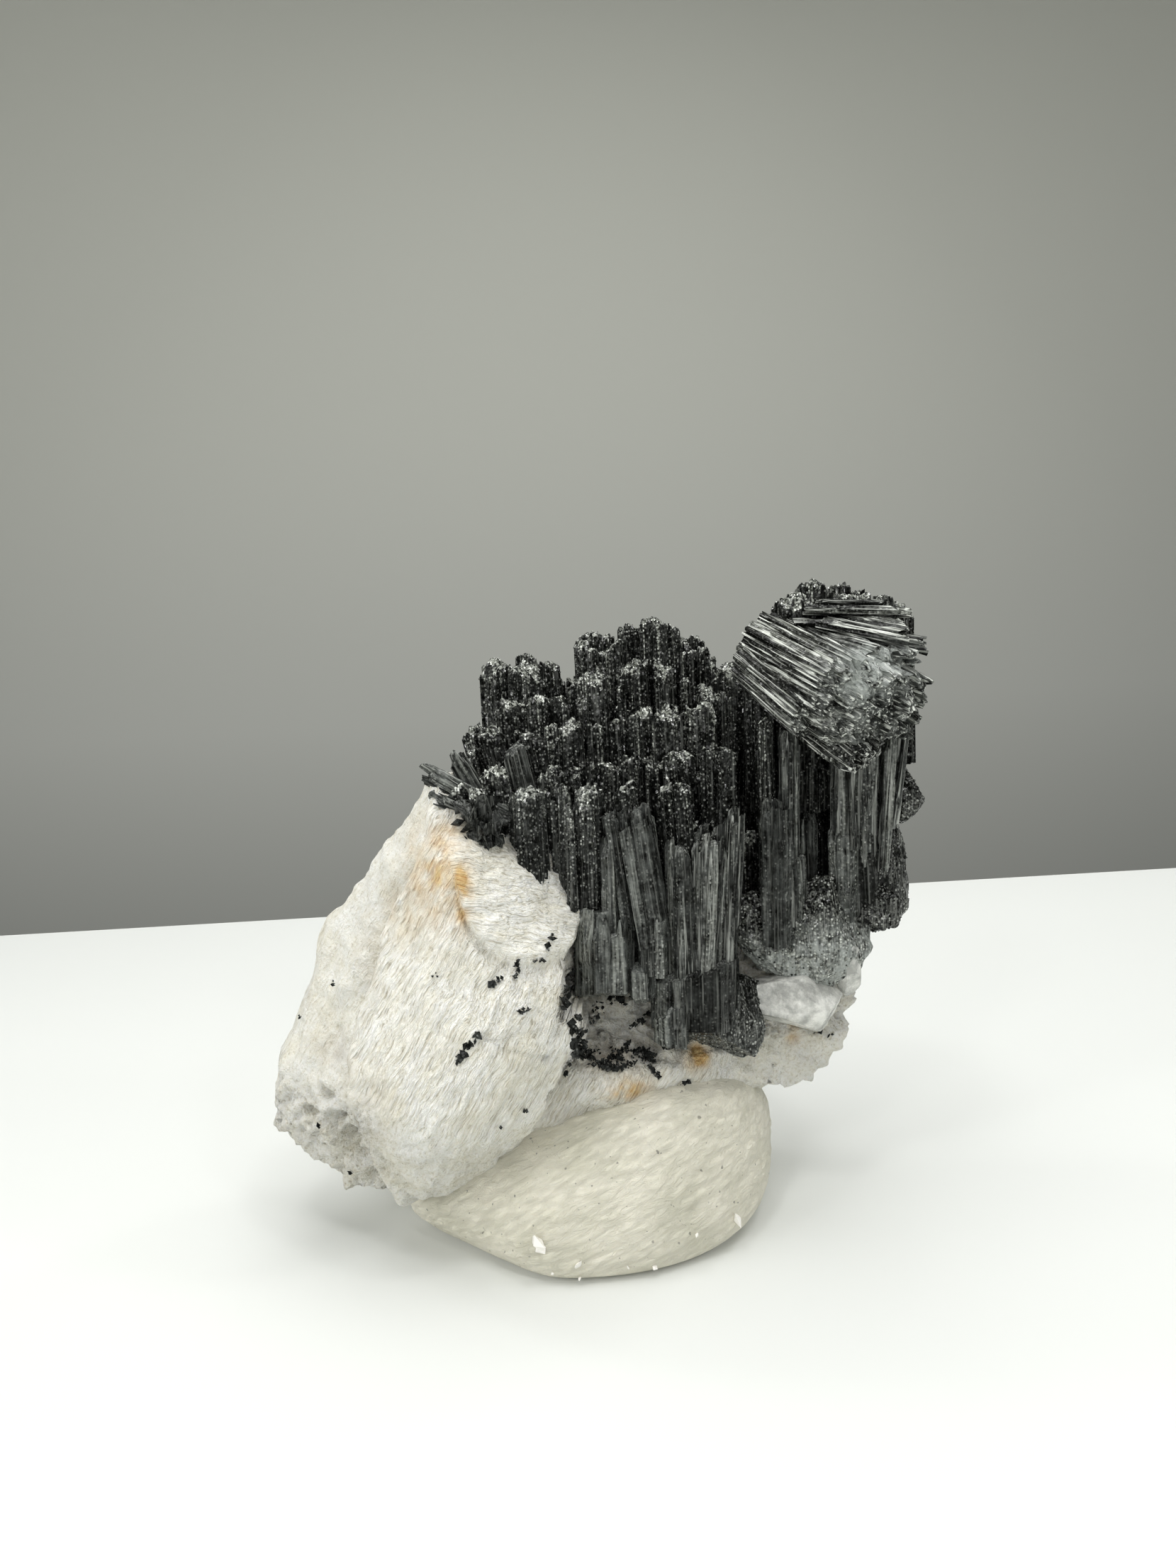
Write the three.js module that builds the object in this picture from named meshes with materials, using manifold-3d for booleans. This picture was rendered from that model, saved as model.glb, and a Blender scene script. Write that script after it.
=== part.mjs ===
// A schorl (black tourmaline) cluster on white feldspar, pressed into a blob of mounting putty.
// Millimetres, +Z up. The cluster's best side faces -Y, and the putty stands on the plane z = 0.
import * as THREE from "three";
import { mergeVertices } from "three/addons/utils/BufferGeometryUtils.js";
import Module from "manifold-3d";

// ---- Driving dimensions -------------------------------------------------------------------

// Moves the middle of the whole specimen's footprint to the origin.
const FOOTPRINT_MIDDLE = { x: -0.3, y: 2.4 };
// Room left between two pieces that touch on the real specimen.
const GAP = 0.32;

// Each stone mass is a stack of rounded sections: [height, left, right, front, back].
const MAIN_BLOCK = [
  [2.9, -10.8, -6.6, -2.6, 3.0],
  [3.5, -12.2, -5.2, -3.5, 5.0],
  [4.4, -14.0, -4.2, -4.0, 6.0],
  [5.9, -15.1, -2.6, -4.4, 7.0],
  [7.9, -15.0, -1.4, -4.8, 7.5],
  [9.5, -14.3, -1.2, -4.8, 7.6],
  [11.0, -13.6, -1.6, -4.5, 7.5],
  [12.5, -12.9, -0.6, -3.9, 7.4],
  [14.5, -11.6, 0.2, -3.0, 7.0],
  [16.5, -9.9, -0.2, -2.2, 6.4],
  [18.3, -8.1, -2.8, -1.4, 5.0],
  [20.2, -6.9, -5.2, 0.2, 2.6],
];
const LEDGE_AND_WING = [
  [5.5, -3.4, 6.8, -1.2, 5.0],
  [6.3, -4.6, 9.6, -1.9, 6.4],
  [7.6, -5.0, 11.1, -1.5, 7.0],
  [8.8, -5.0, 10.9, -0.2, 7.2],
  [10.2, -5.0, 10.0, 0.5, 7.2],
  [11.6, -5.0, 8.4, 0.9, 7.0],
];
const BACK_MASS = [
  [4.6, -9.0, 4.5, 2.0, 6.2],
  [7.0, -11.5, 8.6, 1.5, 8.4],
  [11.0, -10.8, 9.4, 1.5, 8.9],
  [14.0, -9.0, 7.6, 2.0, 8.6],
  [16.6, -7.0, 4.6, 3.0, 7.6],
];
const PUTTY_BLOB = [
  [0.0, -8.8, 6.2, -4.3, 7.3],
  [0.7, -9.5, 6.9, -5.0, 8.0],
  [1.9, -9.5, 7.3, -5.0, 8.1],
  [3.2, -8.8, 7.4, -4.6, 7.9],
  [4.6, -7.0, 7.3, -4.0, 7.4],
  [5.8, -5.2, 6.9, -3.2, 6.6],
  [6.6, -2.5, 6.2, -2.0, 5.4],
  [7.0, 0.0, 4.8, -0.8, 4.0],
];
const SECTION_POINTS = 30;
// 2 gives ellipses, and larger numbers give squarer sections.
const STONE_SQUARENESS = 2.7;
const PUTTY_SQUARENESS = 2.2;

// The crystals: [foot, head, half width, half depth, sides], each a prism with a low pointed end.
const BACK_TIER = [
  [[-3.4, 7.0, 13.0], [-3.3, 7.0, 24.9], 1.5, 1.9, 7],
  [[-1.1, 7.0, 13.0], [-1.1, 7.0, 24.5], 1.2, 2.0, 6],
  [[1.0, 7.5, 13.0], [1.0, 7.5, 25.9], 1.4, 2.1, 8],
  [[3.2, 7.6, 13.0], [3.3, 7.6, 26.3], 1.3, 2.1, 7],
  [[5.0, 7.2, 13.0], [5.1, 7.2, 25.1], 1.1, 2.1, 6],
  [[6.7, 7.0, 13.0], [6.8, 7.0, 24.5], 1.1, 2.0, 7],
  [[8.8, 6.8, 13.0], [8.9, 6.8, 23.8], 1.5, 1.9, 6],
  [[11.2, 6.2, 14.5], [11.4, 6.2, 23.0], 1.4, 1.8, 7],
  [[1.6, 4.8, 13.0], [1.6, 4.8, 24.2], 2.5, 1.4, 8],
];
const MIDDLE_TIER = [
  [[-3.0, 4.4, 15.0], [-3.1, 4.4, 23.6], 0.95, 1.4, 6],
  [[-3.6, 3.4, 16.5], [-4.9, 3.4, 22.2], 1.1, 1.4, 7],
  [[-4.0, 2.6, 16.5], [-6.1, 2.8, 20.8], 0.9, 1.2, 6],
  [[-2.3, 2.1, 17.0], [-3.1, 1.9, 22.1], 0.72, 0.8, 12],
  [[-1.6, 3.9, 15.0], [-1.6, 3.9, 23.3], 0.9, 1.4, 6],
  [[0.3, 3.2, 14.0], [0.3, 3.2, 22.7], 1.5, 1.7, 8],
  [[2.9, 3.4, 14.0], [2.9, 3.4, 22.9], 1.4, 1.7, 7],
  [[5.3, 4.2, 14.0], [5.5, 4.2, 23.6], 1.2, 1.8, 7],
  [[-3.2, 1.3, 18.2], [-6.7, 0.8, 20.5], 0.65, 0.7, 6],
  [[-3.4, 1.4, 17.9], [-6.0, 0.2, 19.3], 0.6, 0.6, 6],
];
const FRONT_TIER = [
  [[-2.4, 0.9, 16.2], [-2.4, 0.9, 19.4], 1.1, 1.5, 7],
  [[-0.5, 0.6, 15.3], [-0.4, 0.6, 19.7], 1.15, 1.5, 8],
  [[2.3, -1.0, 12.8], [1.6, -0.7, 19.1], 0.95, 1.1, 6],
  [[0.3, -0.4, 11.2], [0.5, -0.4, 15.9], 1.3, 1.4, 8],
  [[3.2, -0.6, 11.2], [3.5, -0.4, 20.0], 0.8, 1.2, 6],
  [[5.4, 0.5, 14.0], [5.4, 0.5, 21.2], 0.6, 1.2, 6],
  [[4.5, -1.2, 11.2], [5.5, -0.9, 17.6], 1.2, 1.3, 7],
  [[3.1, -0.9, 9.1], [3.1, -0.9, 12.2], 0.75, 1.0, 6],
  [[5.4, -0.7, 8.7], [5.4, -0.6, 12.0], 1.6, 1.1, 9],
  [[-4.6, 0.6, 17.6], [-4.8, 0.2, 19.1], 1.1, 1.0, 7],
];
const RIGHT_SIDE = [
  [[7.3, 0.9, 10.6], [7.6, 1.0, 21.6], 0.8, 1.3, 6],
  [[8.7, 1.1, 10.9], [9.0, 1.2, 21.4], 0.8, 1.4, 7],
  [[10.2, 1.2, 11.9], [10.6, 1.3, 21.4], 0.95, 1.4, 6],
  [[11.6, 1.6, 13.3], [12.1, 1.7, 21.4], 0.8, 1.4, 7],
  [[12.6, 2.1, 13.0], [12.6, 2.1, 17.3], 0.8, 1.4, 7],
  [[13.5, 2.7, 13.2], [13.5, 2.7, 15.8], 0.5, 1.0, 6],
  [[8.6, 0.2, 10.9], [8.9, 0.3, 13.6], 1.7, 1.4, 9],
  [[13.6, 3.0, 17.4], [13.7, 3.0, 19.3], 0.8, 0.9, 8],
  [[12.4, 2.0, 16.5], [13.4, 2.0, 21.0], 0.5, 1.0, 6],
];
// The tall stepped peak at the right, behind the overhanging head.
const PEAK = [
  [[11.2, 2.6, 18.0], [11.3, 2.6, 26.7], 2.6, 1.9, 9],
  [[10.7, 2.5, 18.0], [10.8, 2.5, 27.6], 1.3, 1.4, 8],
  [[9.3, 2.4, 18.0], [9.3, 2.4, 26.9], 0.7, 1.2, 7],
  [[13.1, 2.6, 18.0], [13.2, 2.6, 26.3], 0.9, 1.3, 7],
];
// The intergrown middle that all the crystals spring from.
const CORE = [
  [[3.0, 4.6, 12.2], [3.2, 4.6, 20.8], 6.4, 3.6, 10],
  [[7.4, 4.2, 12.4], [8.4, 4.2, 21.8], 5.0, 3.4, 10],
];
const POINT_HEIGHT = 0.35;
// How far a prism's corners stand in or out, in parts of its width, and how often round it.
const CORNER_UNEVENNESS = 0.09;
const CORNER_WAVES = 3;

// The head: blades that lean out over the front, drawn as an outline [x, z] between two depths.
const HEAD_OUTLINE = [
  [6.5, 24.7], [7.7, 25.6], [8.9, 26.2], [12.8, 26.3], [13.3, 25.6], [14.2, 25.1],
  [13.4, 24.0], [13.5, 22.3], [13.0, 21.4], [11.2, 21.2], [9.7, 20.8], [8.6, 21.5], [7.2, 22.7],
];
const HEAD_MIDDLE = { x: 10.2, z: 23.6 };
const HEAD_BACK = 3.0;
const HEAD_FRONT = -4.4;
// The front end is smaller, and drawn in towards this point, by this much.
const HEAD_POINT = { x: 11.0, z: 23.0 };
const HEAD_FRONT_SCALE = 0.72;
// The depth where the head starts to narrow.
const HEAD_SHOULDER = -2.4;

// The quartz grain: a faceted pebble.
const QUARTZ_MIDDLE = [8.8, 1.0, 9.5];
const QUARTZ_HALF_SIZE = [1.75, 1.7, 1.25];

// ---- Shapes -------------------------------------------------------------------------------

const wasm = await Module();
wasm.setup();

// A closed triangle mesh as a solid that can be joined and cut.
function solidOf(points, faces) {
  return new wasm.Manifold(new wasm.Mesh({
    numProp: 3,
    vertProperties: new Float32Array(points.flat()),
    triVerts: new Uint32Array(faces.flat()),
  }));
}

// Closes a stack of rings, each with the same number of points, by a fan at each end.
function stackedRings(rings, bottomMiddle, topMiddle) {
  const count = rings[0].length;
  const points = [bottomMiddle, ...rings.flat(), topMiddle];
  const faces = [];
  for (let k = 0; k < count; k += 1) {
    const next = (k + 1) % count;
    faces.push([0, 1 + next, 1 + k]);
    for (let level = 0; level < rings.length - 1; level += 1) {
      const low = 1 + level * count;
      const high = low + count;
      faces.push([low + k, low + next, high + next]);
      faces.push([low + k, high + next, high + k]);
    }
    const last = 1 + (rings.length - 1) * count;
    faces.push([last + k, last + next, points.length - 1]);
  }
  return solidOf(points, faces);
}

// A rounded mass from its stack of sections, with each section's corners as a superellipse.
function roundedMass(sections, squareness, grow = 0) {
  const last = sections.length - 1;
  const rings = sections.map(([height, left, right, front, back], level) => {
    const middle = { x: (left + right) / 2, y: (front + back) / 2 };
    const half = { x: (right - left) / 2 + grow, y: (back - front) / 2 + grow };
    const z = height + (level === 0 ? -grow : 0) + (level === last ? grow : 0);
    return Array.from({ length: SECTION_POINTS }, (_, k) => {
      const turn = (2 * Math.PI * k) / SECTION_POINTS;
      const bend = (value) => Math.sign(value) * Math.abs(value) ** (2 / squareness);
      return [middle.x + half.x * bend(Math.cos(turn)), middle.y + half.y * bend(Math.sin(turn)), z];
    });
  });
  const middleOf = ([, left, right, front, back], z) => [(left + right) / 2, (front + back) / 2, z];
  const bottom = middleOf(sections[0], rings[0][0][2]);
  const top = middleOf(sections[last], rings[last][0][2]);
  return stackedRings(rings, bottom, top);
}

// One crystal: an uneven prism from foot to head, square to its own axis.
function crystal([foot, head, halfWidth, halfDepth, sides], grow = 0) {
  const from = new THREE.Vector3(...foot);
  const to = new THREE.Vector3(...head);
  const axis = to.clone().sub(from).normalize();
  const across = new THREE.Vector3(1, 0, 0).addScaledVector(axis, -axis.x).normalize();
  const away = axis.clone().cross(across);
  const ringAt = (end, slide) => Array.from({ length: sides }, (_, k) => {
    const turn = (2 * Math.PI * (k + 0.5)) / sides;
    const uneven = 1 + CORNER_UNEVENNESS * Math.sin(CORNER_WAVES * turn + foot[0]);
    return end.clone()
      .addScaledVector(across, (halfWidth * uneven + grow) * Math.cos(turn))
      .addScaledVector(away, (halfDepth * uneven + grow) * Math.sin(turn))
      .addScaledVector(axis, slide)
      .toArray();
  });
  const footMiddle = from.clone().addScaledVector(axis, -grow).toArray();
  const headPoint = to.clone().addScaledVector(axis, POINT_HEIGHT + grow).toArray();
  return stackedRings([ringAt(from, -grow), ringAt(to, grow)], footMiddle, headPoint);
}

// The overhanging head, from its back end to its smaller front end.
function headBlades(grow = 0) {
  const ringAt = (y, scale) => HEAD_OUTLINE.map(([x, z]) => {
    const reach = Math.hypot(x - HEAD_MIDDLE.x, z - HEAD_MIDDLE.z);
    const push = 1 + grow / reach;
    const wideX = HEAD_MIDDLE.x + (x - HEAD_MIDDLE.x) * push;
    const wideZ = HEAD_MIDDLE.z + (z - HEAD_MIDDLE.z) * push;
    return [HEAD_POINT.x + (wideX - HEAD_POINT.x) * scale, y, HEAD_POINT.z + (wideZ - HEAD_POINT.z) * scale];
  });
  const back = HEAD_BACK + grow;
  const front = HEAD_FRONT - grow;
  const rings = [ringAt(front, HEAD_FRONT_SCALE), ringAt(HEAD_SHOULDER, 1), ringAt(back, 1)];
  return stackedRings(rings, [HEAD_POINT.x, front, HEAD_POINT.z], [HEAD_MIDDLE.x, back, HEAD_MIDDLE.z]);
}

// The outermost skin of a solid, which fills any pocket sealed between grown-together crystals.
function withoutPockets(solid) {
  const skins = solid.decompose();
  return skins.reduce((best, skin) => (skin.volume() > best.volume() ? skin : best));
}

// All the schorl, grown together as one solid.
function schorlSolid(grow = 0) {
  const rows = [BACK_TIER, MIDDLE_TIER, FRONT_TIER, RIGHT_SIDE, PEAK, CORE].flat();
  const prisms = rows.map((row) => crystal(row, grow));
  return withoutPockets(wasm.Manifold.union([...prisms, headBlades(grow)]));
}

// The quartz grain before its neighbour presses into it.
function quartzPebble(grow = 0) {
  const ball = new THREE.IcosahedronGeometry(1, 1);
  ball.deleteAttribute("normal");
  ball.deleteAttribute("uv");
  const merged = mergeVertices(ball);
  const place = merged.getAttribute("position");
  const points = Array.from({ length: place.count }, (_, k) => {
    const unit = [place.getX(k), place.getY(k), place.getZ(k)];
    return unit.map((value, side) => QUARTZ_MIDDLE[side] + value * (QUARTZ_HALF_SIZE[side] + grow));
  });
  const corners = Array.from(merged.index.array);
  return solidOf(points, corners);
}

// The feldspar before anything is let into it.
function feldsparMasses(grow = 0) {
  const masses = [MAIN_BLOCK, LEDGE_AND_WING, BACK_MASS];
  return wasm.Manifold.union(masses.map((sections) => roundedMass(sections, STONE_SQUARENESS, grow)));
}

// ---- Pieces -------------------------------------------------------------------------------

const FINISHES = {
  schorl: { color: 0x2b2c2c, roughness: 0.4, metalness: 0 },
  quartz: { color: 0xbfc8cb, roughness: 0.15, metalness: 0, transparent: true, opacity: 0.5 },
  feldspar: { color: 0xece9e2, roughness: 0.85, metalness: 0 },
  putty: { color: 0xcdc9ba, roughness: 0.8, metalness: 0 },
};

function pieceMesh(name, solid, finish) {
  const { vertProperties, triVerts } = solid.getMesh();
  const geometry = new THREE.BufferGeometry();
  geometry.setAttribute("position", new THREE.BufferAttribute(vertProperties, 3));
  geometry.setIndex(new THREE.BufferAttribute(triVerts, 1));
  geometry.computeVertexNormals();
  const mesh = new THREE.Mesh(geometry, new THREE.MeshStandardMaterial(finish));
  mesh.name = name;
  return mesh;
}

const schorl = schorlSolid();
const quartz = withoutPockets(quartzPebble().subtract(schorlSolid(GAP)));
const socketed = feldsparMasses().subtract(schorlSolid(GAP)).subtract(quartzPebble(GAP));
const feldspar = withoutPockets(socketed);
const putty = withoutPockets(roundedMass(PUTTY_BLOB, PUTTY_SQUARENESS).subtract(feldsparMasses(GAP)));

const specimen = new THREE.Group();
specimen.add(
  pieceMesh("schorl_cluster", schorl, FINISHES.schorl),
  pieceMesh("quartz_grain", quartz, FINISHES.quartz),
  pieceMesh("feldspar_matrix", feldspar, FINISHES.feldspar),
  pieceMesh("mounting_putty", putty, FINISHES.putty),
);
specimen.position.set(-FOOTPRINT_MIDDLE.x, -FOOTPRINT_MIDDLE.y, 0);

const group = new THREE.Group();
group.add(specimen);

export default group;
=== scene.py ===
# %% [markdown]
# # A schorl cluster on feldspar, seated in mounting putty
# The specimen has four pieces: a black tourmaline cluster, the white fibrous feldspar that it grew
# on, a clear quartz grain, and the lump of putty that holds it up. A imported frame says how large
# each is and where it sits. This lesson gives each one its real surface, one step at a time.

# %% Open the frame
import functools

import bpy
import numpy as np
from mathutils import Matrix, Vector


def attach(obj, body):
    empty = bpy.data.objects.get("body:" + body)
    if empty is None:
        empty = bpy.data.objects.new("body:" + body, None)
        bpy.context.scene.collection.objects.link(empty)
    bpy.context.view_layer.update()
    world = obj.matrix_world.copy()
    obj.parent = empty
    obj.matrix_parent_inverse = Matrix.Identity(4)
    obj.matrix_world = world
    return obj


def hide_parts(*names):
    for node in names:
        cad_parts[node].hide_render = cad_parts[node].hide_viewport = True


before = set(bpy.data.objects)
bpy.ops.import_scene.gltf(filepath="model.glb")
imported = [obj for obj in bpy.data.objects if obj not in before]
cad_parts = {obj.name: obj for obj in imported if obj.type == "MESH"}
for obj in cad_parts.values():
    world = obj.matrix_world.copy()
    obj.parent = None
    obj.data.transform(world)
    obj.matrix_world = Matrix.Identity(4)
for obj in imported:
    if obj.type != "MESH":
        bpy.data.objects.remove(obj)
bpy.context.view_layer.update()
print("the frame holds", sorted(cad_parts))

# %% [markdown]
# ## Units and colours
# Stones of this size are easiest to draw in millimetres, with the drawing's origin under the front
# of the cluster. One function moves a drawn point to the frame, in metres. Colours are picked as
# sRGB hex values, as a paint card gives them, but light adds up in linear values, so one function
# turns every hex value to linear.

# %% Units and colours
MM = 0.001
FOOTPRINT_MIDDLE = np.array([-0.3, 2.4, 0.0])


def to_frame(points):
    """Drawing millimetres to frame metres: take the footprint's middle away, then scale."""
    return (np.asarray(points, float) - FOOTPRINT_MIDDLE) * MM


def linear(hex_colour):
    """sRGB to linear: below 0.04045 divide by 12.92, above it raise (c + 0.055) / 1.055 to 2.4."""
    srgb = np.array([int(hex_colour[k:k + 2], 16) for k in (1, 3, 5)]) / 255
    low, high = srgb / 12.92, ((srgb + 0.055) / 1.055) ** 2.4
    return (*np.where(srgb <= 0.04045, low, high).tolist(), 1.0)


print("mid grey is", [round(c, 3) for c in linear("#808080")[:3]])

# %% [markdown]
# ## Steady random numbers
# Rock is irregular at every scale, so most surfaces here are a plain shape plus noise. Random
# numbers drawn one after another would change whenever a piece is added. Numbers hashed from a
# place in space never do, and they work on a whole array at once.

# %% Hashed numbers


def hashed(cells, seed):
    """A number from 0 to 1 for each whole-number cell: its three counts and the seed, each times
    a large odd number, are mixed by exclusive or, and 24 of the bits are kept."""
    c = np.asarray(cells).astype(np.int64).astype(np.uint64)
    mix = c[..., 0] * np.uint64(73856093) ^ c[..., 1] * np.uint64(19349663)
    mix = mix ^ c[..., 2] * np.uint64(83492791) ^ np.uint64(seed * 2654435761 + 97)
    # The products run past 64 bits on purpose, and what runs over is dropped.
    with np.errstate(over="ignore"):
        mix = (mix ^ (mix >> np.uint64(29))) * np.uint64(0xBF58476D1CE4E5B9)
        mix = (mix ^ (mix >> np.uint64(32))) * np.uint64(0x94D049BB133111EB)
    return ((mix >> np.uint64(30)) & np.uint64(0xFFFFFF)).astype(float) / 0x1000000


def counted(count, number):
    """The cells to hash for that many small things of one numbered thing."""
    k = np.arange(count)
    return np.stack([k, np.full(count, number), 0 * k], -1)


print("three hashed numbers:", hashed(counted(3, 1), 1).round(3))

# %% Noise


def noise(points, size, seed):
    """Smooth bumps from -1 to 1, about one per size: the eight hashed corners round each point,
    blended by 3t^2 - 2t^3 of its place in the cell."""
    place = np.asarray(points, float) / size
    base = np.floor(place)
    t = place - base
    t = t * t * (3 - 2 * t)
    total = 0.0
    for corner in np.ndindex(2, 2, 2):
        share = np.prod(np.where(np.array(corner) == 1, t, 1 - t), axis=-1)
        total = total + share * hashed(base + np.array(corner), seed)
    return total * 2 - 1


def fractal(points, size, octaves, seed):
    """Rough bumps from about -1 to 1: noise at each size, half, quarter and so on, each half as
    strong as the one before."""
    parts = [noise(points, size / 2**k, seed + k) / 2**k for k in range(octaves)]
    return sum(parts) / (2 - 0.5 ** (octaves - 1))


def grains(points, size, seed):
    """Broken grains: the distance to the nearest and to the second nearest of one hashed middle
    per cell, in sizes, and a steady random number for the nearest."""
    place = np.asarray(points, float) / size
    base = np.floor(place)
    near = np.full(place.shape[:-1], 9.0)
    second, number = near.copy(), np.zeros_like(near)
    for step in np.ndindex(3, 3, 3):
        cell = base + np.array(step) - 1
        middle = cell + np.stack([hashed(cell, seed + k) for k in range(3)], axis=-1)
        far = np.linalg.norm(place - middle, axis=-1)
        closer = far < near
        second = np.where(closer, near, np.minimum(second, far))
        number = np.where(closer, hashed(cell, seed + 3), number)
        near = np.where(closer, far, near)
    return near, second, number


def smooth_step(low, high, value):
    """0 below low, 1 above high, and 3t^2 - 2t^3 between."""
    t = np.clip((value - low) / (high - low), 0, 1)
    return t * t * (3 - 2 * t)


def hill(distance, width):
    """1 where the distance is 0, falling off as exp of minus its square, counted in widths."""
    return np.exp(-((distance / width) ** 2))


print("noise at the origin:", round(float(noise(np.zeros(3), 1.0, 1)), 3))

# %% [markdown]
# ## From arrays to a piece
# Every shape below ends as an array of points and arrays of faces. Filling the mesh with
# foreach_set takes the arrays whole, which is far quicker than adding faces one by one. A finished
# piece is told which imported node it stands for, which body it rides on and which finish it takes.

# %% Piece maker


def add_piece(name, points, faces, material, smooth=True, fields=None):
    """A mesh object from drawing points and a list of face arrays with three or four columns.
    fields are numbers that each point carries for the material, such as how pitted it is."""
    mesh = bpy.data.meshes.new(name)
    placed = to_frame(points)
    mesh.vertices.add(len(placed))
    mesh.vertices.foreach_set("co", placed.astype(np.float32).ravel())
    sizes = np.concatenate([np.full(len(f), f.shape[1]) for f in faces])
    corners = np.concatenate([f.ravel() for f in faces]).astype(np.int32)
    mesh.loops.add(len(corners))
    mesh.loops.foreach_set("vertex_index", corners)
    mesh.polygons.add(len(sizes))
    starts = np.concatenate([[0], np.cumsum(sizes)[:-1]]).astype(np.int32)
    mesh.polygons.foreach_set("loop_start", starts)
    mesh.polygons.foreach_set("use_smooth", np.full(len(sizes), smooth))
    for field, values in (fields or {}).items():
        values = np.asarray(values, np.float32)
        kind, key = ("FLOAT", "value") if values.ndim == 1 else ("FLOAT_VECTOR", "vector")
        mesh.attributes.new(field, kind, "POINT").data.foreach_set(key, values.ravel())
    mesh.update(calc_edges=True)
    mesh.validate()
    mesh.materials.append(material)
    piece = bpy.data.objects.new(name, mesh)
    bpy.context.scene.collection.objects.link(piece)
    print(name, "has", int((sizes - 2).sum()), "triangles")
    return piece


def stands_for(piece, node):
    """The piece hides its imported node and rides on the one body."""
    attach(piece, "root")
    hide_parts(node)


# %% [markdown]
# Most pieces are a grid of points that wraps round, like a stack of rings, with one more point that
# closes each end. So two functions list the faces of all of them.

# %% Faces of grids and stacked rings


def grid_faces(rows, columns, wrap=True):
    """The four-cornered faces of a grid of rows by columns of points. wrap joins the last column
    to the first."""
    across = columns if wrap else columns - 1
    row, column = np.meshgrid(np.arange(rows - 1), np.arange(across), indexing="ij")
    beside = (column + 1) % columns
    low, high = row * columns, (row + 1) * columns
    quads = [low + column, low + beside, high + beside, high + column]
    return np.stack(quads, axis=-1).reshape(-1, 4)


def closed_rings(rows, columns):
    """Faces of a stack of rings whose two closing points come last, the first ring's before the
    last ring's: the grid's quads, and a fan of triangles at each end."""
    total = rows * columns
    k = np.arange(columns)
    beside = (k + 1) % columns
    last = total - columns
    first_fan = np.stack([beside, k, np.full(columns, total)], -1)
    last_fan = np.stack([last + k, last + beside, np.full(columns, total + 1)], -1)
    return grid_faces(rows, columns), np.concatenate([first_fan, last_fan])


print("a stack of 3 rings of 8 points has", len(closed_rings(3, 8)[0]), "quads")

# %% [markdown]
# ## Finishes
# Each finish is named for what the surface is. Cycles' Principled shader covers them all: what
# differs is the pattern that drives its colour, roughness and bump. One function adds a node with
# its settings and its links, and returns the socket that the next node reads.

# %% Node helper


def node(tree, kind, *values, output=None, stops=(), **named):
    """Adds a node of that kind, which may name the node's operation after a colon. values fill its
    inputs in order, and capitalised names fill them by name, with _ for a space: each is a number, a
    colour or a socket to link from. Lower-case names are the node's own settings. stops are a
    colour ramp's places and hex colours. Returns the output asked for, or the first in use."""
    kind, _, operation = kind.partition(":")
    made = tree.nodes.new("ShaderNode" + kind)
    settings = {name: value for name, value in named.items() if name.islower()}
    if operation:
        settings["operation"] = operation
    for name, value in settings.items():
        setattr(made, name, value)
    in_use = [socket for socket in made.inputs if socket.enabled]
    by_name = [
        (made.inputs[name.replace("_", " ")], value)
        for name, value in named.items() if not name.islower()]
    for socket, value in [*zip(in_use, values), *by_name]:
        if isinstance(value, bpy.types.NodeSocket):
            tree.links.new(value, socket)
        else:
            socket.default_value = value
    for _ in range(len(stops) - 2):
        made.color_ramp.elements.new(0.5)
    for k, (place, hex_colour) in enumerate(stops):
        made.color_ramp.elements[k].position = place
        made.color_ramp.elements[k].color = linear(hex_colour)
    if output:
        return made.outputs[output]
    return next((socket for socket in made.outputs if socket.enabled), None)


def new_material(name):
    """An empty material, and the node function bound to its tree."""
    material = bpy.data.materials.new(name)
    material.use_nodes = True
    material.node_tree.nodes.clear()
    return material, functools.partial(node, material.node_tree)


# %% [markdown]
# ### Schorl
# Schorl is black tourmaline: an opaque, glassy iron silicate, IOR about 1.65. Its prism faces are
# grooved lengthways, and where growth stopped they are pitted, so each pit wall throws its own
# glint. The needles' own flat sides do most of that. Pits finer than them are cells that are each
# tipped their own way: the height inside a cell is the distance from its middle along a random
# direction, which Bump turns into tilted facets. The pitted field says how strongly. Fine fibres
# streak the smooth faces lengthways. A flat texture wrapped round would smear over the edges, so
# that noise is worked out in space and stretched along the crystal's own axis, which the grown
# field gives as places across, away and along, in metres. The tone field holds random tone and
# painted light: flat tips that stand proud are painted lighter, and in a crack between needles the
# colour is painted darker and the gloss dimmed, as painted shade. Haze is the pale bloom of fine
# scratches. On smooth faces the streaks are painted lighter, as painted reflection, and the colour
# also has painted glints and the sheen field's pale lines along the fibres, as painted highlights.

# %% Schorl finish
# Sizes of one pit, of streaks and fine lines (across, away, along), of grit, of one painted glint
# and of worn spots, and the streaks' depth. The real needles are finer than 0.1 mm, which would blur
# away, so these are about twice as coarse.
PIT_SIZE = 0.17 * MM
STREAK_SIZES = (0.1 * MM, 0.1 * MM, 2.2 * MM)
LINE_SIZES = (0.12 * MM, 0.12 * MM, 3.0 * MM)
GRIT_SIZE = 0.14 * MM
PAINTED_GLINT_SIZE = 0.12 * MM
WEAR_SIZE = 0.6 * MM
STREAK_DEPTH = 0.06 * MM


def tilted_cells(add, place, size, strength):
    """A height that slopes a different way in each cell about size wide."""
    random = add("TexVoronoi", Vector=place, Scale=1 / size, output="Color")
    offset = add("VectorMath:SUBTRACT", place, random.node.outputs["Position"])
    centred = add("VectorMath:SUBTRACT", random, (0.5, 0.5, 0.5))
    slope = add("VectorMath:DOT_PRODUCT", offset, centred)
    return add("Math:MULTIPLY", slope, strength)


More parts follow.
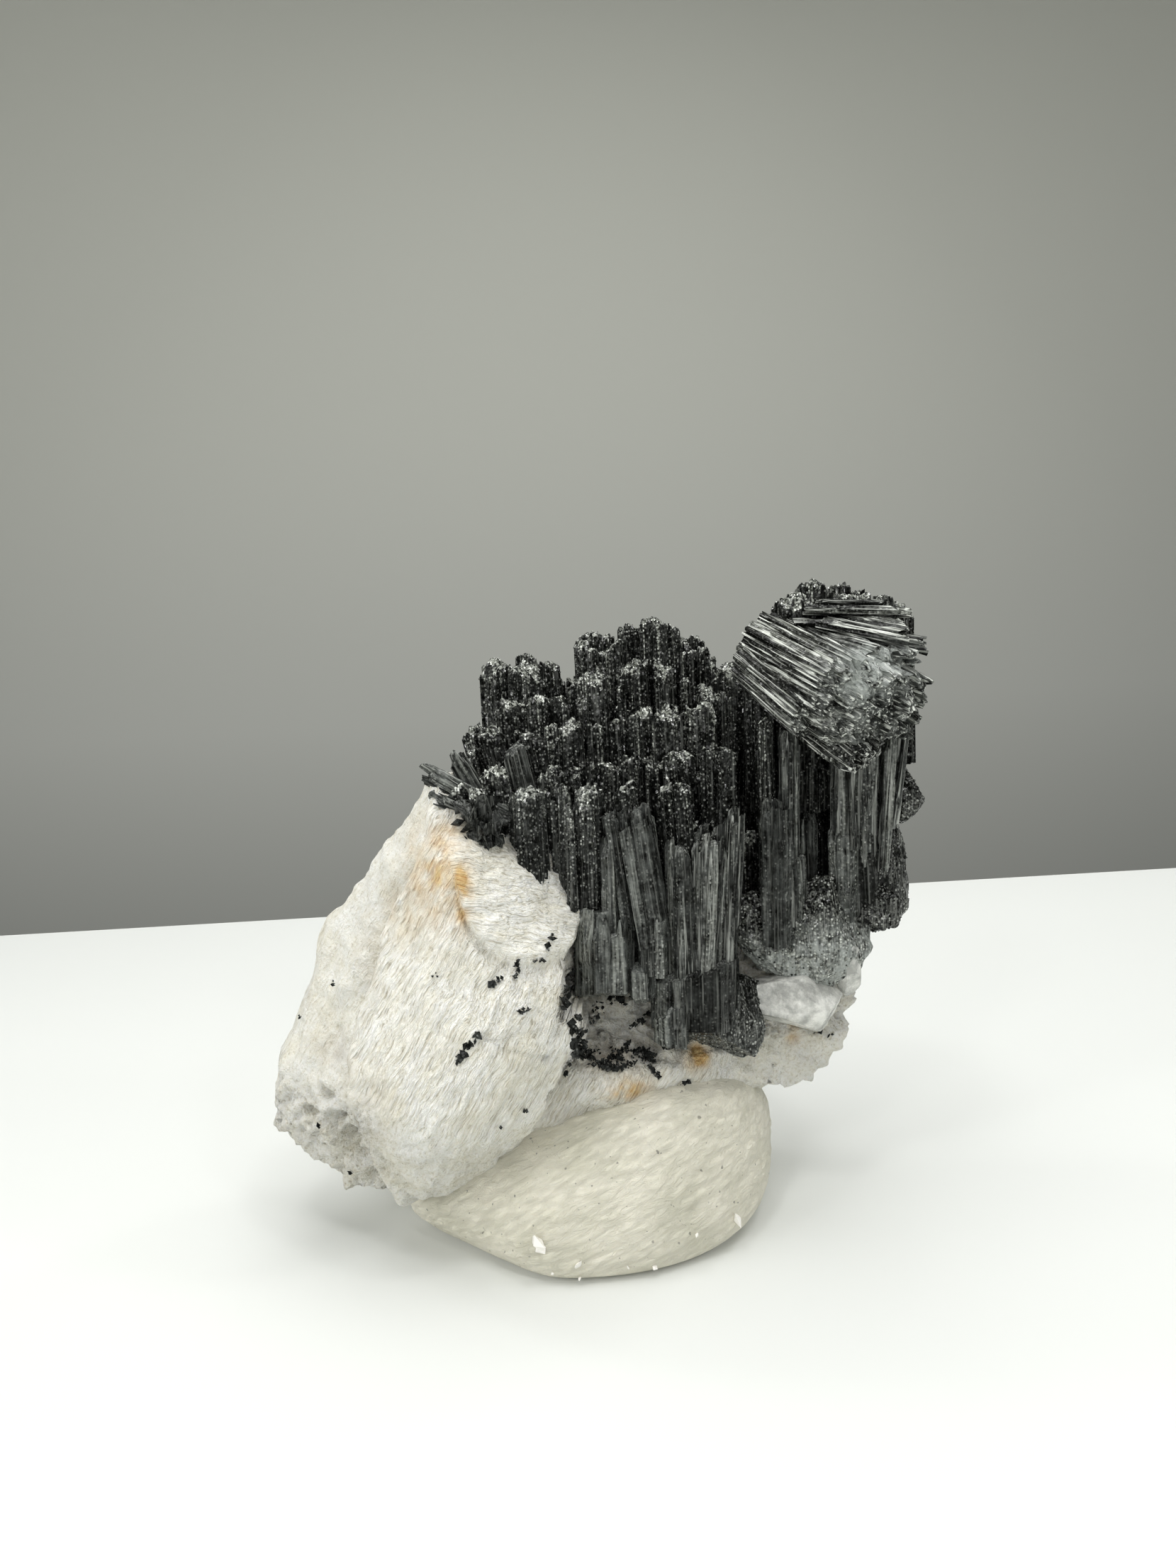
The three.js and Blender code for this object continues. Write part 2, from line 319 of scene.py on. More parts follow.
def streaks(add, grown, sizes):
    """Noise that is stretched to those sizes across, away and along."""
    stretched = add("Mapping", vector_type="TEXTURE", Vector=grown, Scale=sizes)
    return add("TexNoise", stretched, 1.0, 2.0, 0.6)


def schorl_finish():
    """Height is cells times pitted plus streaks times the rest. Colour is body, with streaks painted
    lighter as painted reflection and all of it scaled by the tone, whose low end is painted shade;
    then painted glints and painted sheen lines; then haze. Gloss falls where grit or streaks make the
    surface dull, and where a low tone paints shade."""
    made, add = new_material("schorl_striated")
    place = add("TexCoord", output="Object")
    pitted, haze, tone, sheen = (
        add("Attribute", attribute_name=field, output="Fac")
        for field in ("pitted", "haze", "tone", "sheen"))
    grown = add("Attribute", attribute_name="grown", output="Vector")
    streak, thin = streaks(add, grown, STREAK_SIZES), streaks(add, grown, LINE_SIZES)
    # The noise node's inputs are the place, the scale, how many finer layers, and their strength.
    grit = add("TexNoise", place, 1 / GRIT_SIZE, 2.0, 0.6)
    worn = add("TexNoise", place, 1 / WEAR_SIZE, 5.0, 0.65)
    even = add("Math:SUBTRACT", 1.0, pitted)
    # Bump: pits where it is pitted, streaks where it is even.
    pits = tilted_cells(add, place, PIT_SIZE, 1.1)
    height = add("Math:MULTIPLY", pits, add("Math:MULTIPLY_ADD", pitted, 0.95, 0.05))
    streaked = add("Math:MULTIPLY", streak, even)
    height = add("Math:MULTIPLY_ADD", streaked, STREAK_DEPTH, height)
    normal = add("Bump", Strength=1.0, Distance=1.0, Height=height)
    # Body colour: black, greyer where grit is rubbed or dull, and streaks painted lighter as painted
    # reflection; all of it darkened by a low tone, as painted shade.
    painted_streak_light = add("Math:MULTIPLY", add("MapRange", streak, 0.38, 0.68), even)
    rubbed = add("Math:MULTIPLY", add("MapRange", grit, 0.4, 0.68), pitted)
    dull = add("Math:MULTIPLY", grit, add("Math:MULTIPLY", even, 0.5))
    shade = add("Math:MULTIPLY_ADD", painted_streak_light, 0.7, add("Math:ADD", rubbed, dull))
    shade = add("Math:MULTIPLY", shade, add("Math:MULTIPLY_ADD", tone, 0.88, 0.04))
    body = add("ValToRGB", shade, stops=[
        (0.0, "#030302"), (0.2, "#171815"), (0.5, "#5f615a"), (1.0, "#a0a399")])
    # Painted highlights: painted glints in the middles of some cells, and painted sheen lines on
    # silky faces.
    cell = add("TexVoronoi", Vector=place, Scale=1 / PAINTED_GLINT_SIZE, output="Color")
    centred = add("MapRange", cell.node.outputs["Distance"], 0.3, 0.5, 1.0, 0.0)
    painted_glint = add("MapRange", add("SeparateXYZ", cell), 0.55, 0.95)
    painted_glint = add("Math:MULTIPLY", painted_glint, centred)
    painted_glint = add("Math:MULTIPLY", painted_glint, add("Math:MULTIPLY_ADD", pitted, 0.85, 0.15))
    painted_glint = add("Math:MULTIPLY", painted_glint, add("Math:MULTIPLY_ADD", tone, 1.1, 0.1))
    painted_sheen_line = add("Math:MULTIPLY", add("MapRange", thin, 0.53, 0.68), sheen)
    bright = add("Math:MAXIMUM", painted_sheen_line, painted_glint, use_clamp=True)
    with_painted_highlights = add("Mix", bright, body, linear("#e2e5dc"), data_type="RGBA")
    # Pale haze, broken up by wear.
    worn_streak = add("Math:MULTIPLY_ADD", streak, 0.5, worn)
    cover = add("Math:MULTIPLY", add("MapRange", worn_streak, 0.6, 1.0), haze)
    cover = add("Math:MINIMUM", cover, 0.85)
    colour = add("Mix", cover, with_painted_highlights, linear("#a3a8a3"), data_type="RGBA")
    gloss = add(
        "Math:MULTIPLY", add("MapRange", grit, 0.35, 0.65, 0.05, 0.7),
        add("MapRange", streak, 0.3, 0.6, 0.4, 1.0))
    # A low tone also dims the gloss: painted shade on the reflection.
    gloss = add("Math:MULTIPLY", gloss, add("MapRange", tone, 0.0, 0.8, 0.03, 1.0))
    surface = add(
        "BsdfPrincipled", Base_Color=colour, Roughness=add("MapRange", worn, 0.3, 0.7, 0.1, 0.25),
        IOR=1.65, Normal=normal, Specular_IOR_Level=gloss)
    add("OutputMaterial", Surface=surface)
    return made


SCHORL = schorl_finish()
print("schorl pits are", round(PIT_SIZE / MM, 2), "mm wide")

# %% [markdown]
# ### Feldspar
# This feldspar is white albite in fine parallel fibres, like split wood: mat, softly see-through at
# the surface, and stained ochre by iron where water ran in. Modelling every fibre would take
# millions of faces, so the coarse ones are relief on the stone and the fine ones are noise stretched
# many times along the fibres. They lean one way on the block and another on its upper facet, so the
# pattern is drawn both ways and the turned field picks one. Where the silky field is low the stone
# broke across its fibres, and a sugary grain takes their place.

# %% Feldspar finish
FIBRE_WIDTH = 0.08 * MM
FIBRE_LENGTH = 1.3 * MM
SUGAR_SIZE = 0.16 * MM
CLOUD_SIZE = 1.6 * MM
RELIEF = 0.33 * MM
# The fibres sway to the side by this much over this length.
SWAY = 0.4 * MM
SWAY_SIZE = 1.1 * MM
# How far the fibres lean from upright, in radians: on the block, and on its upper facet.
BLOCK_LEAN = 0.56
FACET_LEAN = 1.80


def fibres(add, place, lean):
    """Noise in a frame leant over about Y, with cells that are thin across and long along."""
    local = add(
        "Mapping", vector_type="TEXTURE", Vector=place, Rotation=(0.0, lean, 0.0),
        Scale=(FIBRE_WIDTH, 2 * FIBRE_WIDTH, FIBRE_LENGTH))
    return add("TexNoise", local, 1.0, 3.0, 0.6, Distortion=0.15)


def feldspar_finish():
    """Height and grooves are fibre where silky and sugar elsewhere; the grooves' colour is painted
    shade. Stain, then the brown field, of brown patches and painted shade along the fold, cover it.
    """
    made, add = new_material("albite_fibrous")
    place = add("TexCoord", output="Object")
    turned, stain, brown_and_painted_shade, silky = (
        add("Attribute", attribute_name=field, output="Fac")
        for field in ("turned", "stain", "brown_and_painted_shade", "silky"))
    sway = add("TexNoise", place, 1 / SWAY_SIZE, 2.0, 0.5, output="Color")
    bent = add("VectorMath:MULTIPLY_ADD", sway, (SWAY, SWAY, SWAY), place)
    fibre = add("Mix", turned, fibres(add, bent, BLOCK_LEAN), fibres(add, bent, FACET_LEAN))
    sugar = add("TexNoise", place, 1 / SUGAR_SIZE, 4.0, 0.65)
    cloud = add("TexNoise", place, 1 / CLOUD_SIZE, 5.0, 0.6)
    height = add("Mix", silky, sugar, fibre)
    gritty = add("Math:MULTIPLY_ADD", sugar, 0.35, height)
    normal = add("Bump", Strength=1.0, Distance=RELIEF, Height=gritty)
    pale = add("ValToRGB", cloud, stops=[(0.3, "#f6f2e2"), (0.6, "#fffef6")])
    # Painted shade: the colour is darker where the fibre height is low, in the grooves.
    groove = add("ValToRGB", height, stops=[(0.3, "#c4bfb4"), (0.42, "#f2f0ea"), (0.52, "#ffffff")])
    body = add("Mix", 1.0, pale, groove, data_type="RGBA", blend_type="MULTIPLY")
    ochre = add("ValToRGB", fibre, stops=[(0.3, "#b7813c"), (0.65, "#ebce92")])
    stained = add("Mix", stain, body, ochre, data_type="RGBA")
    # Browned by the brown patches, and by painted shade along the fold.
    browned_and_shaded = add("Mix", brown_and_painted_shade, stained, linear("#9c8c74"), data_type="RGBA")
    surface = add(
        "BsdfPrincipled", Base_Color=browned_and_shaded, Roughness=0.55, IOR=1.53, Normal=normal,
        Subsurface_Weight=0.1, Subsurface_Radius=(1.0, 0.9, 0.75), Subsurface_Scale=0.15 * MM)
    add("OutputMaterial", Surface=surface)
    return made


FELDSPAR = feldspar_finish()
print("feldspar fibres are", round(FIBRE_WIDTH / MM, 2), "mm wide")

# %% [markdown]
# ### Quartz, putty and dust
# Quartz is clear with an IOR of 1.544, and milky where fine cracks and bubbles veil it. Perfectly
# clear glass would vanish against the stone, so a veil mixes the two. Mounting putty is an oily
# chalk paste, mat with a faint sheen, creased by the fingers that rolled it and specked with dirt.
# A little light spreads inside it, as in wax. The dust on it is crushed feldspar.

# %% Quartz, putty and dust finishes
# Sizes of the quartz's cracks and milky veils, and of the putty's creases, mottling and specks.
CRACK_SIZE, VEIL_SIZE = 0.3 * MM, 0.9 * MM
CREASE_SIZE, MOTTLE_SIZE, SPECK_SIZE = 0.28 * MM, 2.2 * MM, 0.22 * MM


def quartz_finish():
    """Milkier where the veil's noise is high: there the colour is paler and less light passes."""
    made, add = new_material("quartz_clear")
    place = add("TexCoord", output="Object")
    cracks = add("TexNoise", place, 1 / CRACK_SIZE, 6.0, 0.7)
    veil = add("TexNoise", place, 1 / VEIL_SIZE, 5.0, 0.65)
    surface = add(
        "BsdfPrincipled", Roughness=0.25, IOR=1.544,
        Base_Color=add("ValToRGB", veil, stops=[(0.35, "#dcddd6"), (0.6, "#fbfbf4")]),
        Transmission_Weight=add("MapRange", veil, 0.4, 0.62, 0.5, 0.15),
        Normal=add("Bump", Strength=0.8, Distance=0.14 * MM, Height=cracks))
    add("OutputMaterial", Surface=surface)
    return made


def putty_finish():
    """Mottled paste, darkened at the few places where the specks' noise is at its lowest."""
    made, add = new_material("putty_chalk_paste")
    place = add("TexCoord", output="Object")
    turned = add(
        "Mapping", vector_type="TEXTURE", Vector=place, Rotation=(0.0, -0.45, 0.0),
        Scale=(2.6, 1.5, 1.0))
    creases = add("TexNoise", turned, 1 / CREASE_SIZE, 6.0, 0.7, Distortion=0.8)
    mottle = add("TexNoise", place, 1 / MOTTLE_SIZE, 4.0, 0.55)
    specks = add("TexNoise", place, 1 / SPECK_SIZE, 2.0, 0.4)
    body = add("ValToRGB", mottle, stops=[(0.32, "#d3d0bd"), (0.6, "#e6e2d1")])
    speck = add("ValToRGB", specks, stops=[(0.255, "#a0a0a0"), (0.29, "#ffffff")])
    surface = add(
        "BsdfPrincipled", Roughness=0.48, IOR=1.5,
        Base_Color=add("Mix", 0.8, body, speck, data_type="RGBA", blend_type="MULTIPLY"),
        Normal=add("Bump", Strength=1.0, Distance=0.2 * MM, Height=creases),
        Subsurface_Weight=0.12, Subsurface_Radius=(1.0, 0.85, 0.6), Subsurface_Scale=0.4 * MM)
    add("OutputMaterial", Surface=surface)
    return made


def plain_finish(name, hex_colour, roughness, ior=1.5):
    """One colour and one roughness all over."""
    made, add = new_material(name)
    add("OutputMaterial", Surface=add(
        "BsdfPrincipled", Base_Color=linear(hex_colour), Roughness=roughness, IOR=ior))
    return made


QUARTZ, PUTTY = quartz_finish(), putty_finish()
DUST = plain_finish("feldspar_dust", "#f4f1ea", 0.5, 1.53)
print("finishes:", [material.name for material in bpy.data.materials if material.use_nodes])

# %% [markdown]
# ## The schorl cluster
# Two kinds of crystal make it up. Crusted ones ended in thousands of needle tips: seen from above
# they are cracked into round-topped pillars, each pillar is a bundle of needles, and every needle
# stopped at its own height. A prism for every needle would hide most of its faces inside the
# bundle. Since the tips are one height over the crystal's section, a crusted crystal is a fine grid
# in its own directions instead, lifted to the needles' heights inside the section and left at its
# foot outside. Its walls are then as ribbed as the outline of the outermost needles.

# %% Crystal styles
# For crusted crystals: step is the grid's, pitch the room per needle, pillar the pillars' width,
# drop and uneven how much shorter pillars and needles may be, gap how deep the cracks between the
# pillars run, lumps how wavy the tops are, round how far a pillar's rim falls, grains how many sit
# on a square millimetre. For smooth ones: sides is the number of flat faces, stave the width of the
# strips that each face splits into, drop how much shorter a strip may be, groove how deep it is
# parted from the next, turned the section's turn in radians, taper the top's size by the foot's,
# sole_lean the sole's slope. For both: ragged is the sole's unevenness, stairs the top's slope
# toward the back, dome its rise in the middle, end whether haze keeps to the far end. Pale scales
# the tone, bloom is a place on the head that is hazier and hollow one whose colour is painted
# darker, as painted shade in a pit, each with its width, and the rest goes to the finish, where
# sheen is how strong the painted highlight lines are.
STYLES = {
    "crust": {"step": 0.09, "pitch": 0.24, "pillar": 1.2, "drop": 0.9, "uneven": 0.22, "gap": 2.4,
              "pitted": 1.0, "haze": 0.06, "pale": 0.5, "lumps": 0.4, "round": 0.7, "sheen": 0.1},
    "blade": {"step": 0.065, "sides": 6, "stave": 0.6, "groove": 0.06, "drop": 1.1, "pillar": 0.4,
              "pitted": 0.3, "haze": 0.42, "pale": 1.4, "sheen": 0.12},
    "fine": {"step": 0.06, "sides": 8, "stave": 0.24, "groove": 0.06, "drop": 1.0, "pillar": 0.3,
             "pitted": 0.2, "haze": 0.28, "pale": 1.2, "sheen": 0.35},
    "head": {"step": 0.07, "sides": 7, "stave": 0.26, "groove": 0.13, "drop": 0.9, "pillar": 0.45,
             "pitted": 0.2, "haze": 0.45, "pale": 1.25, "end": True, "sheen": 1.1,
             "bloom": ((11.0, -3.6, 24.3), 1.1), "hollow": ((11.4, -3.4, 22.9), 0.8)},
}
USUAL = {"ragged": 0.3, "stairs": 0.0, "dome": 0.3, "end": False, "taper": 1.0, "sole_lean": 0.0,
         "grains": 9.0, "turned": 0.0}
print("crystal styles:", list(STYLES))

# %% A crystal's directions, and its places in the drawing


def settled(crystal):
    """A crystal row's foot, directions, length, half sizes and full style. The directions are along,
    from foot to head, across, as near +X as that allows, and away, square to both, which points to
    +Y on an upright crystal."""
    foot, head, half_width, half_depth, kind, *own = crystal
    along = np.subtract(head, foot)
    length = np.linalg.norm(along)
    along = along / length
    guide = np.array([1.0, 0.0, 0.0]) if abs(along[0]) < 0.85 else np.array([0.0, 0.0, -1.0])
    across = guide - along * (guide @ along)
    across = across / np.linalg.norm(across)
    axes = along, across, np.cross(along, across)
    style = {**USUAL, **STYLES[kind], **(own[0] if own else {})}
    return np.asarray(foot, float), axes, length, half_width, half_depth, style


def crystal_seed(number):
    """The first of the seeds that a numbered crystal hashes with."""
    return 50 + 17 * number


NO_QUADS, NO_TRIANGLES = np.zeros((0, 4), int), np.zeros((0, 3), int)


def schorl_part(points, quads, triangles, grown=None, **fields):
    """Part of a schorl piece, with the finish's fields: each is one number for all of it or one per
    point. grown is where the streaks' noise is read, in metres."""
    filled = {field: np.broadcast_to(value, len(points)) for field, value in fields.items()}
    filled["grown"] = points * MM if grown is None else grown
    return points, quads, triangles, filled


def placed_part(foot, axes, local, quads, triangles, style, tone, number):
    """Crystal coordinates (across, away, along) to drawing ones, with the finish's fields: haze is
    scaled by the tone, so the painted shade in a crack hides it too, and by a rise toward the far end
    on styles that keep it there. Round the head's hollow, tone and haze are painted lower, as painted
    shade in a pit."""
    along, across, away = axes
    points = foot + local[:, :1] * across + local[:, 1:2] * away + local[:, 2:] * along
    far_end = smooth_step(0.5, 0.95, local[:, 2] / local[:, 2].max()) if style["end"] else 1.0
    haze = style["haze"] * far_end * np.clip(0.2 + 1.2 * tone, 0, 1)
    if "bloom" in style:
        (bloom, wide), (hollow, deep) = style["bloom"], style["hollow"]
        haze = haze + 2.5 * hill(np.linalg.norm(points - bloom, axis=1), wide)
        # The hollow: painted shade in a pit, lowering tone and haze round it.
        dark = 1 - 0.9 * hill(np.linalg.norm(points - hollow, axis=1), deep)
        haze, tone = haze * dark, tone * dark
    grown = (local + np.array([7.0, 3.0, 5.0]) * number) * MM
    return schorl_part(points, quads, triangles, grown, pitted=style["pitted"], haze=haze,
                       sheen=style["sheen"], tone=tone)


upright = settled(((0, 0, 0), (0, 0, 1), 1, 1, "crust"))
print("an upright crystal's along, across and away:", [axis.round(2).tolist() for axis in upright[1]])

# %% [markdown]
# A cracked plane gives the pillars, and a finer one the needles. Light falls on what stands proud,
# so the tone is high on flat tips that rise above what is round them, and low on the walls and in
# the cracks. Leaving that to the lamps alone would make the cracks grey, as real needles are finer
# than these and drink the light.

# %% Needles and pillars


def cells_over(u, v, size, seed):
    """A plane cracked into cells, one hashed middle per square of that size. Gives the nearest
    middle's u and v, its own number, and the distances to it and to the second nearest in sizes."""
    place = np.stack([u, v], -1) / size
    base = np.floor(place)
    near = np.full(place.shape[:-1], 9.0)
    second, number, middle = near.copy(), np.zeros_like(near), np.zeros_like(place)
    for step in np.ndindex(3, 3):
        cell = base + np.array(step) - 1
        key = np.concatenate([cell, np.full_like(cell[..., :1], 3)], -1)
        there = cell + 0.1 + 0.8 * np.stack([hashed(key, seed), hashed(key, seed + 1)], -1)
        far = np.linalg.norm(place - there, axis=-1)
        closer = far < near
        second = np.where(closer, near, np.minimum(second, far))
        number = np.where(closer, hashed(key, seed + 2), number)
        middle = np.where(closer[..., None], there, middle)
        near = np.where(closer, far, near)
    return middle[..., 0] * size, middle[..., 1] * size, number, near, second


def needle_heights(u, v, key, crystal, number):
    """Where the section has needles, the heights of their tips and soles, and each place's pillar
    and needle numbers. The section is where the sum of the cubes of u and v, in half sizes, is
    below about 1, less the cracks. A tip is the length, less its pillar's drop, its own, the
    crack's depth and the fall to the rims, plus slow lumps."""
    _, _, length, half_width, half_depth, style = settled(crystal)
    seed, apart = crystal_seed(number), 40.0 * number
    needle_u, needle_v, needle, near, _ = cells_over(u + apart, v, style["pitch"], seed + 2)
    wide = style["pillar"] * (0.7 + hashed(np.array([number, 4, 1]), seed))
    _, _, pillar, middle, beside = cells_over(needle_u, needle_v, wide, seed + 5)
    reach = np.abs((needle_u - apart) / half_width) ** 3 + np.abs(needle_v / half_depth) ** 3
    spot = np.stack([needle_u, needle_v, np.full_like(u, 5.1)], -1)
    stand = 0.75 + 0.6 * ((7.3 * pillar) % 1)
    crack = beside - middle < 0.1 + 0.2 * hashed(np.round(spot * 1.1), seed + 8)
    inside = (reach * stand < 1 + 0.35 * noise(spot, 0.7, seed)) & ~(crack & (reach > 0.2))
    high = length - style["drop"] * pillar**1.5 - style["uneven"] * needle**2
    high = high - style["gap"] * crack
    high = high + style["stairs"] * needle_v / half_depth - style["dome"] * reach
    high = high + style["lumps"] * noise(spot, 0.8, seed + 11) - 0.35 * near**2
    high = high - style["round"] * middle**2
    high = high + 0.08 * (hashed(key, seed + 12) - 0.5)
    low = -style["ragged"] * (pillar + 0.4 * needle)
    return inside, np.maximum(high, low + 0.3), low, pillar, needle


print("a needle has", STYLES["crust"]["pitch"], "mm of room")

# %% Light on the needles
# How far round a needle, in millimetres, the mean height is taken.
NEAR_BY = 0.5


def box_mean(grid, reach):
    """Mean over the square of cells that far to each side, from sums that run both ways."""
    wide = 2 * reach + 1
    run = np.pad(grid, reach + 1, mode="edge").cumsum(0).cumsum(1)
    total = run[wide:, wide:] - run[:-wide, wide:] - run[wide:, :-wide] + run[:-wide, :-wide]
    return total[: grid.shape[0], : grid.shape[1]] / wide**2


def exposure(inside, high, low, step):
    """Two shares of light for each place: 1 on flat ground and 0 on a wall, by the drop to the
    lowest of its four neighbours, and 1 where it stands above the mean height near by, 0 well
    below."""
    ground = np.pad(np.where(inside, high, low), 1, mode="edge")
    lowest = np.minimum(np.minimum(ground[:-2, 1:-1], ground[2:, 1:-1]),
                        np.minimum(ground[1:-1, :-2], ground[1:-1, 2:]))
    around = box_mean(np.where(inside, high, high - 1.0), int(NEAR_BY / step))
    return smooth_step(0.8, 0.2, high - lowest), smooth_step(-0.45, 0.25, high - around)


level = np.zeros((9, 9))
shares = exposure(level == 0, level, level, 0.1)
print("level ground gets", [round(float(share[4, 4]), 2) for share in shares])

# %% Crusted crystals
# How far grid points may stray, in steps, so that no straight rows show, and the grid's width by
# the crystal's half width, which leaves room for the outermost needles.
STRAY, GRID_ROOM = 0.6, 2.5
# Painted shade: the tone given to walls' feet and to soles.
FOOT_PAINTED_SHADE, SOLE_PAINTED_SHADE = 0.12, 0.08


def crusted(crystal, number):
    """A crusted crystal: a jittered grid at the needles' heights, and under it a second grid at
    their soles' heights. The two share the points outside the section, which closes the walls."""
    foot, axes, _, half_width, half_depth, style = settled(crystal)
    seed, step = crystal_seed(number), style["step"]
    columns, rows = (int(GRID_ROOM * half / step) + 2 for half in (half_width, half_depth))
    row, column = np.meshgrid(np.arange(rows), np.arange(columns), indexing="ij")
    key = np.stack([row, column, np.full_like(row, number)], -1)
    u = (column - (columns - 1) / 2 + STRAY * (hashed(key, seed) - 0.5)) * step
    v = (row - (rows - 1) / 2 + STRAY * (hashed(key, seed + 1) - 0.5)) * step
    inside, high, low, pillar, needle = needle_heights(u, v, key, crystal, number)
    own, total = inside.ravel(), rows * columns
    under = np.where(own, total + np.cumsum(own) - 1, np.arange(total))
    flat = np.stack([u.ravel(), v.ravel()], -1)
    local = np.concatenate([
        np.column_stack([flat, np.where(own, high.ravel(), low.ravel())]),
        np.column_stack([flat[own], low.ravel()[own]])])
    grid = grid_faces(rows, columns, wrap=False)
    grid = grid[own[grid].any(1)]
    quads = np.concatenate([grid, under[grid][:, ::-1]])
    used, renamed = np.unique(quads, return_inverse=True)
    open_top, proud = exposure(inside, high, low, step)
    # Painted light and shade: the tone is raised on open flat ground and where a place stands proud,
    # and falls on walls and in cracks; pillars and needles add random tone.
    bright = 0.2 + style["pale"] * (0.25 * pillar + 0.25 * needle) + 1.3 * open_top
    bright = (0.7 + 0.6 * hashed(np.array([number, 2, 9]), seed)) * bright * (0.08 + proud)
    tone = np.concatenate([
        np.where(own, bright.ravel(), FOOT_PAINTED_SHADE), np.full(own.sum(), SOLE_PAINTED_SHADE)])
    return placed_part(foot, axes, local[used], renamed.reshape(quads.shape), NO_TRIANGLES,
                       style, tone[used], number)


sample = crusted(((0, 0, 0), (0, 0, 3), 1, 1, "crust"), 1)
print("a crusted crystal 2 mm wide has", len(sample[1]), "quads")

# %% [markdown]
# The smooth ones kept their prism faces. Each face is split into staves, long strips that stand a
# little in or out and stop at their own heights, and the staves are finely grooved. Bump alone
# would leave the crystal's outline straight and its end flat, so such a crystal is a stack of
# rings: the section's outline, moved in and out by those strips and grooves, repeated along the
# length, then drawn in over both ends.

# %% Outlines and staves


def section_outline(half_width, half_depth, style, number):
    """Evenly spaced points round a section cut by flat sides: the radius at an angle is the least,
    over the sides, of the side's distance divided by the cosine of the angle between them."""
    seed, sides = crystal_seed(number), style["sides"]
    key = counted(sides, number)
    facing = 2 * np.pi * (np.arange(sides) + 0.5 * hashed(key, seed)) / sides + style["turned"]
    apart = 0.84 + 0.16 * hashed(key, seed + 1)
    angle = np.linspace(0, 2 * np.pi, 720)
    lean = np.cos(angle[:, None] - facing)
    radius = np.where(lean > 0.2, apart / np.maximum(lean, 0.2), 9.0).min(1)
    x, y = radius * np.cos(angle) * half_width, radius * np.sin(angle) * half_depth
    run = np.concatenate([[0], np.cumsum(np.hypot(np.diff(x), np.diff(y)))])
    wanted = np.linspace(0, run[-1], max(int(run[-1] / style["step"]), 24), endpoint=False)
    return np.stack([np.interp(wanted, run, x), np.interp(wanted, run, y)], -1), wanted


def staves(outline, run, style, number):
    """The stave that each outline point is on, that stave's two hashed numbers, and how close to
    its edge the point is, from 0 to 1. Staves are even steps of the run, shifted by noise."""
    seed, count = crystal_seed(number), len(outline)
    uneven = noise(np.column_stack([outline, np.full(count, 3.3)]) / style["stave"], 1.3, seed + 2)
    place = run / style["stave"] + 0.8 * uneven
    which, within = np.floor(place), place - np.floor(place)
    key = np.stack([which, np.full(count, number), np.full(count, 2)], -1)
    edge = smooth_step(0.16, 0.0, np.minimum(within, 1 - within))
    return which, hashed(key, seed + 3), hashed(key, seed + 4), edge


print("a fine stave is", STYLES["fine"]["stave"], "mm wide")

# %% Smooth crystals
# Millimetres between rings, between fine grooves, along a groove, and between breaks in a stave.
RING_STEP, GROOVE_STEP, GROOVE_LENGTH, BREAK_STEP = 0.4, 0.13, 4.0, 1.7
MIDDLE_TONE = 0.4


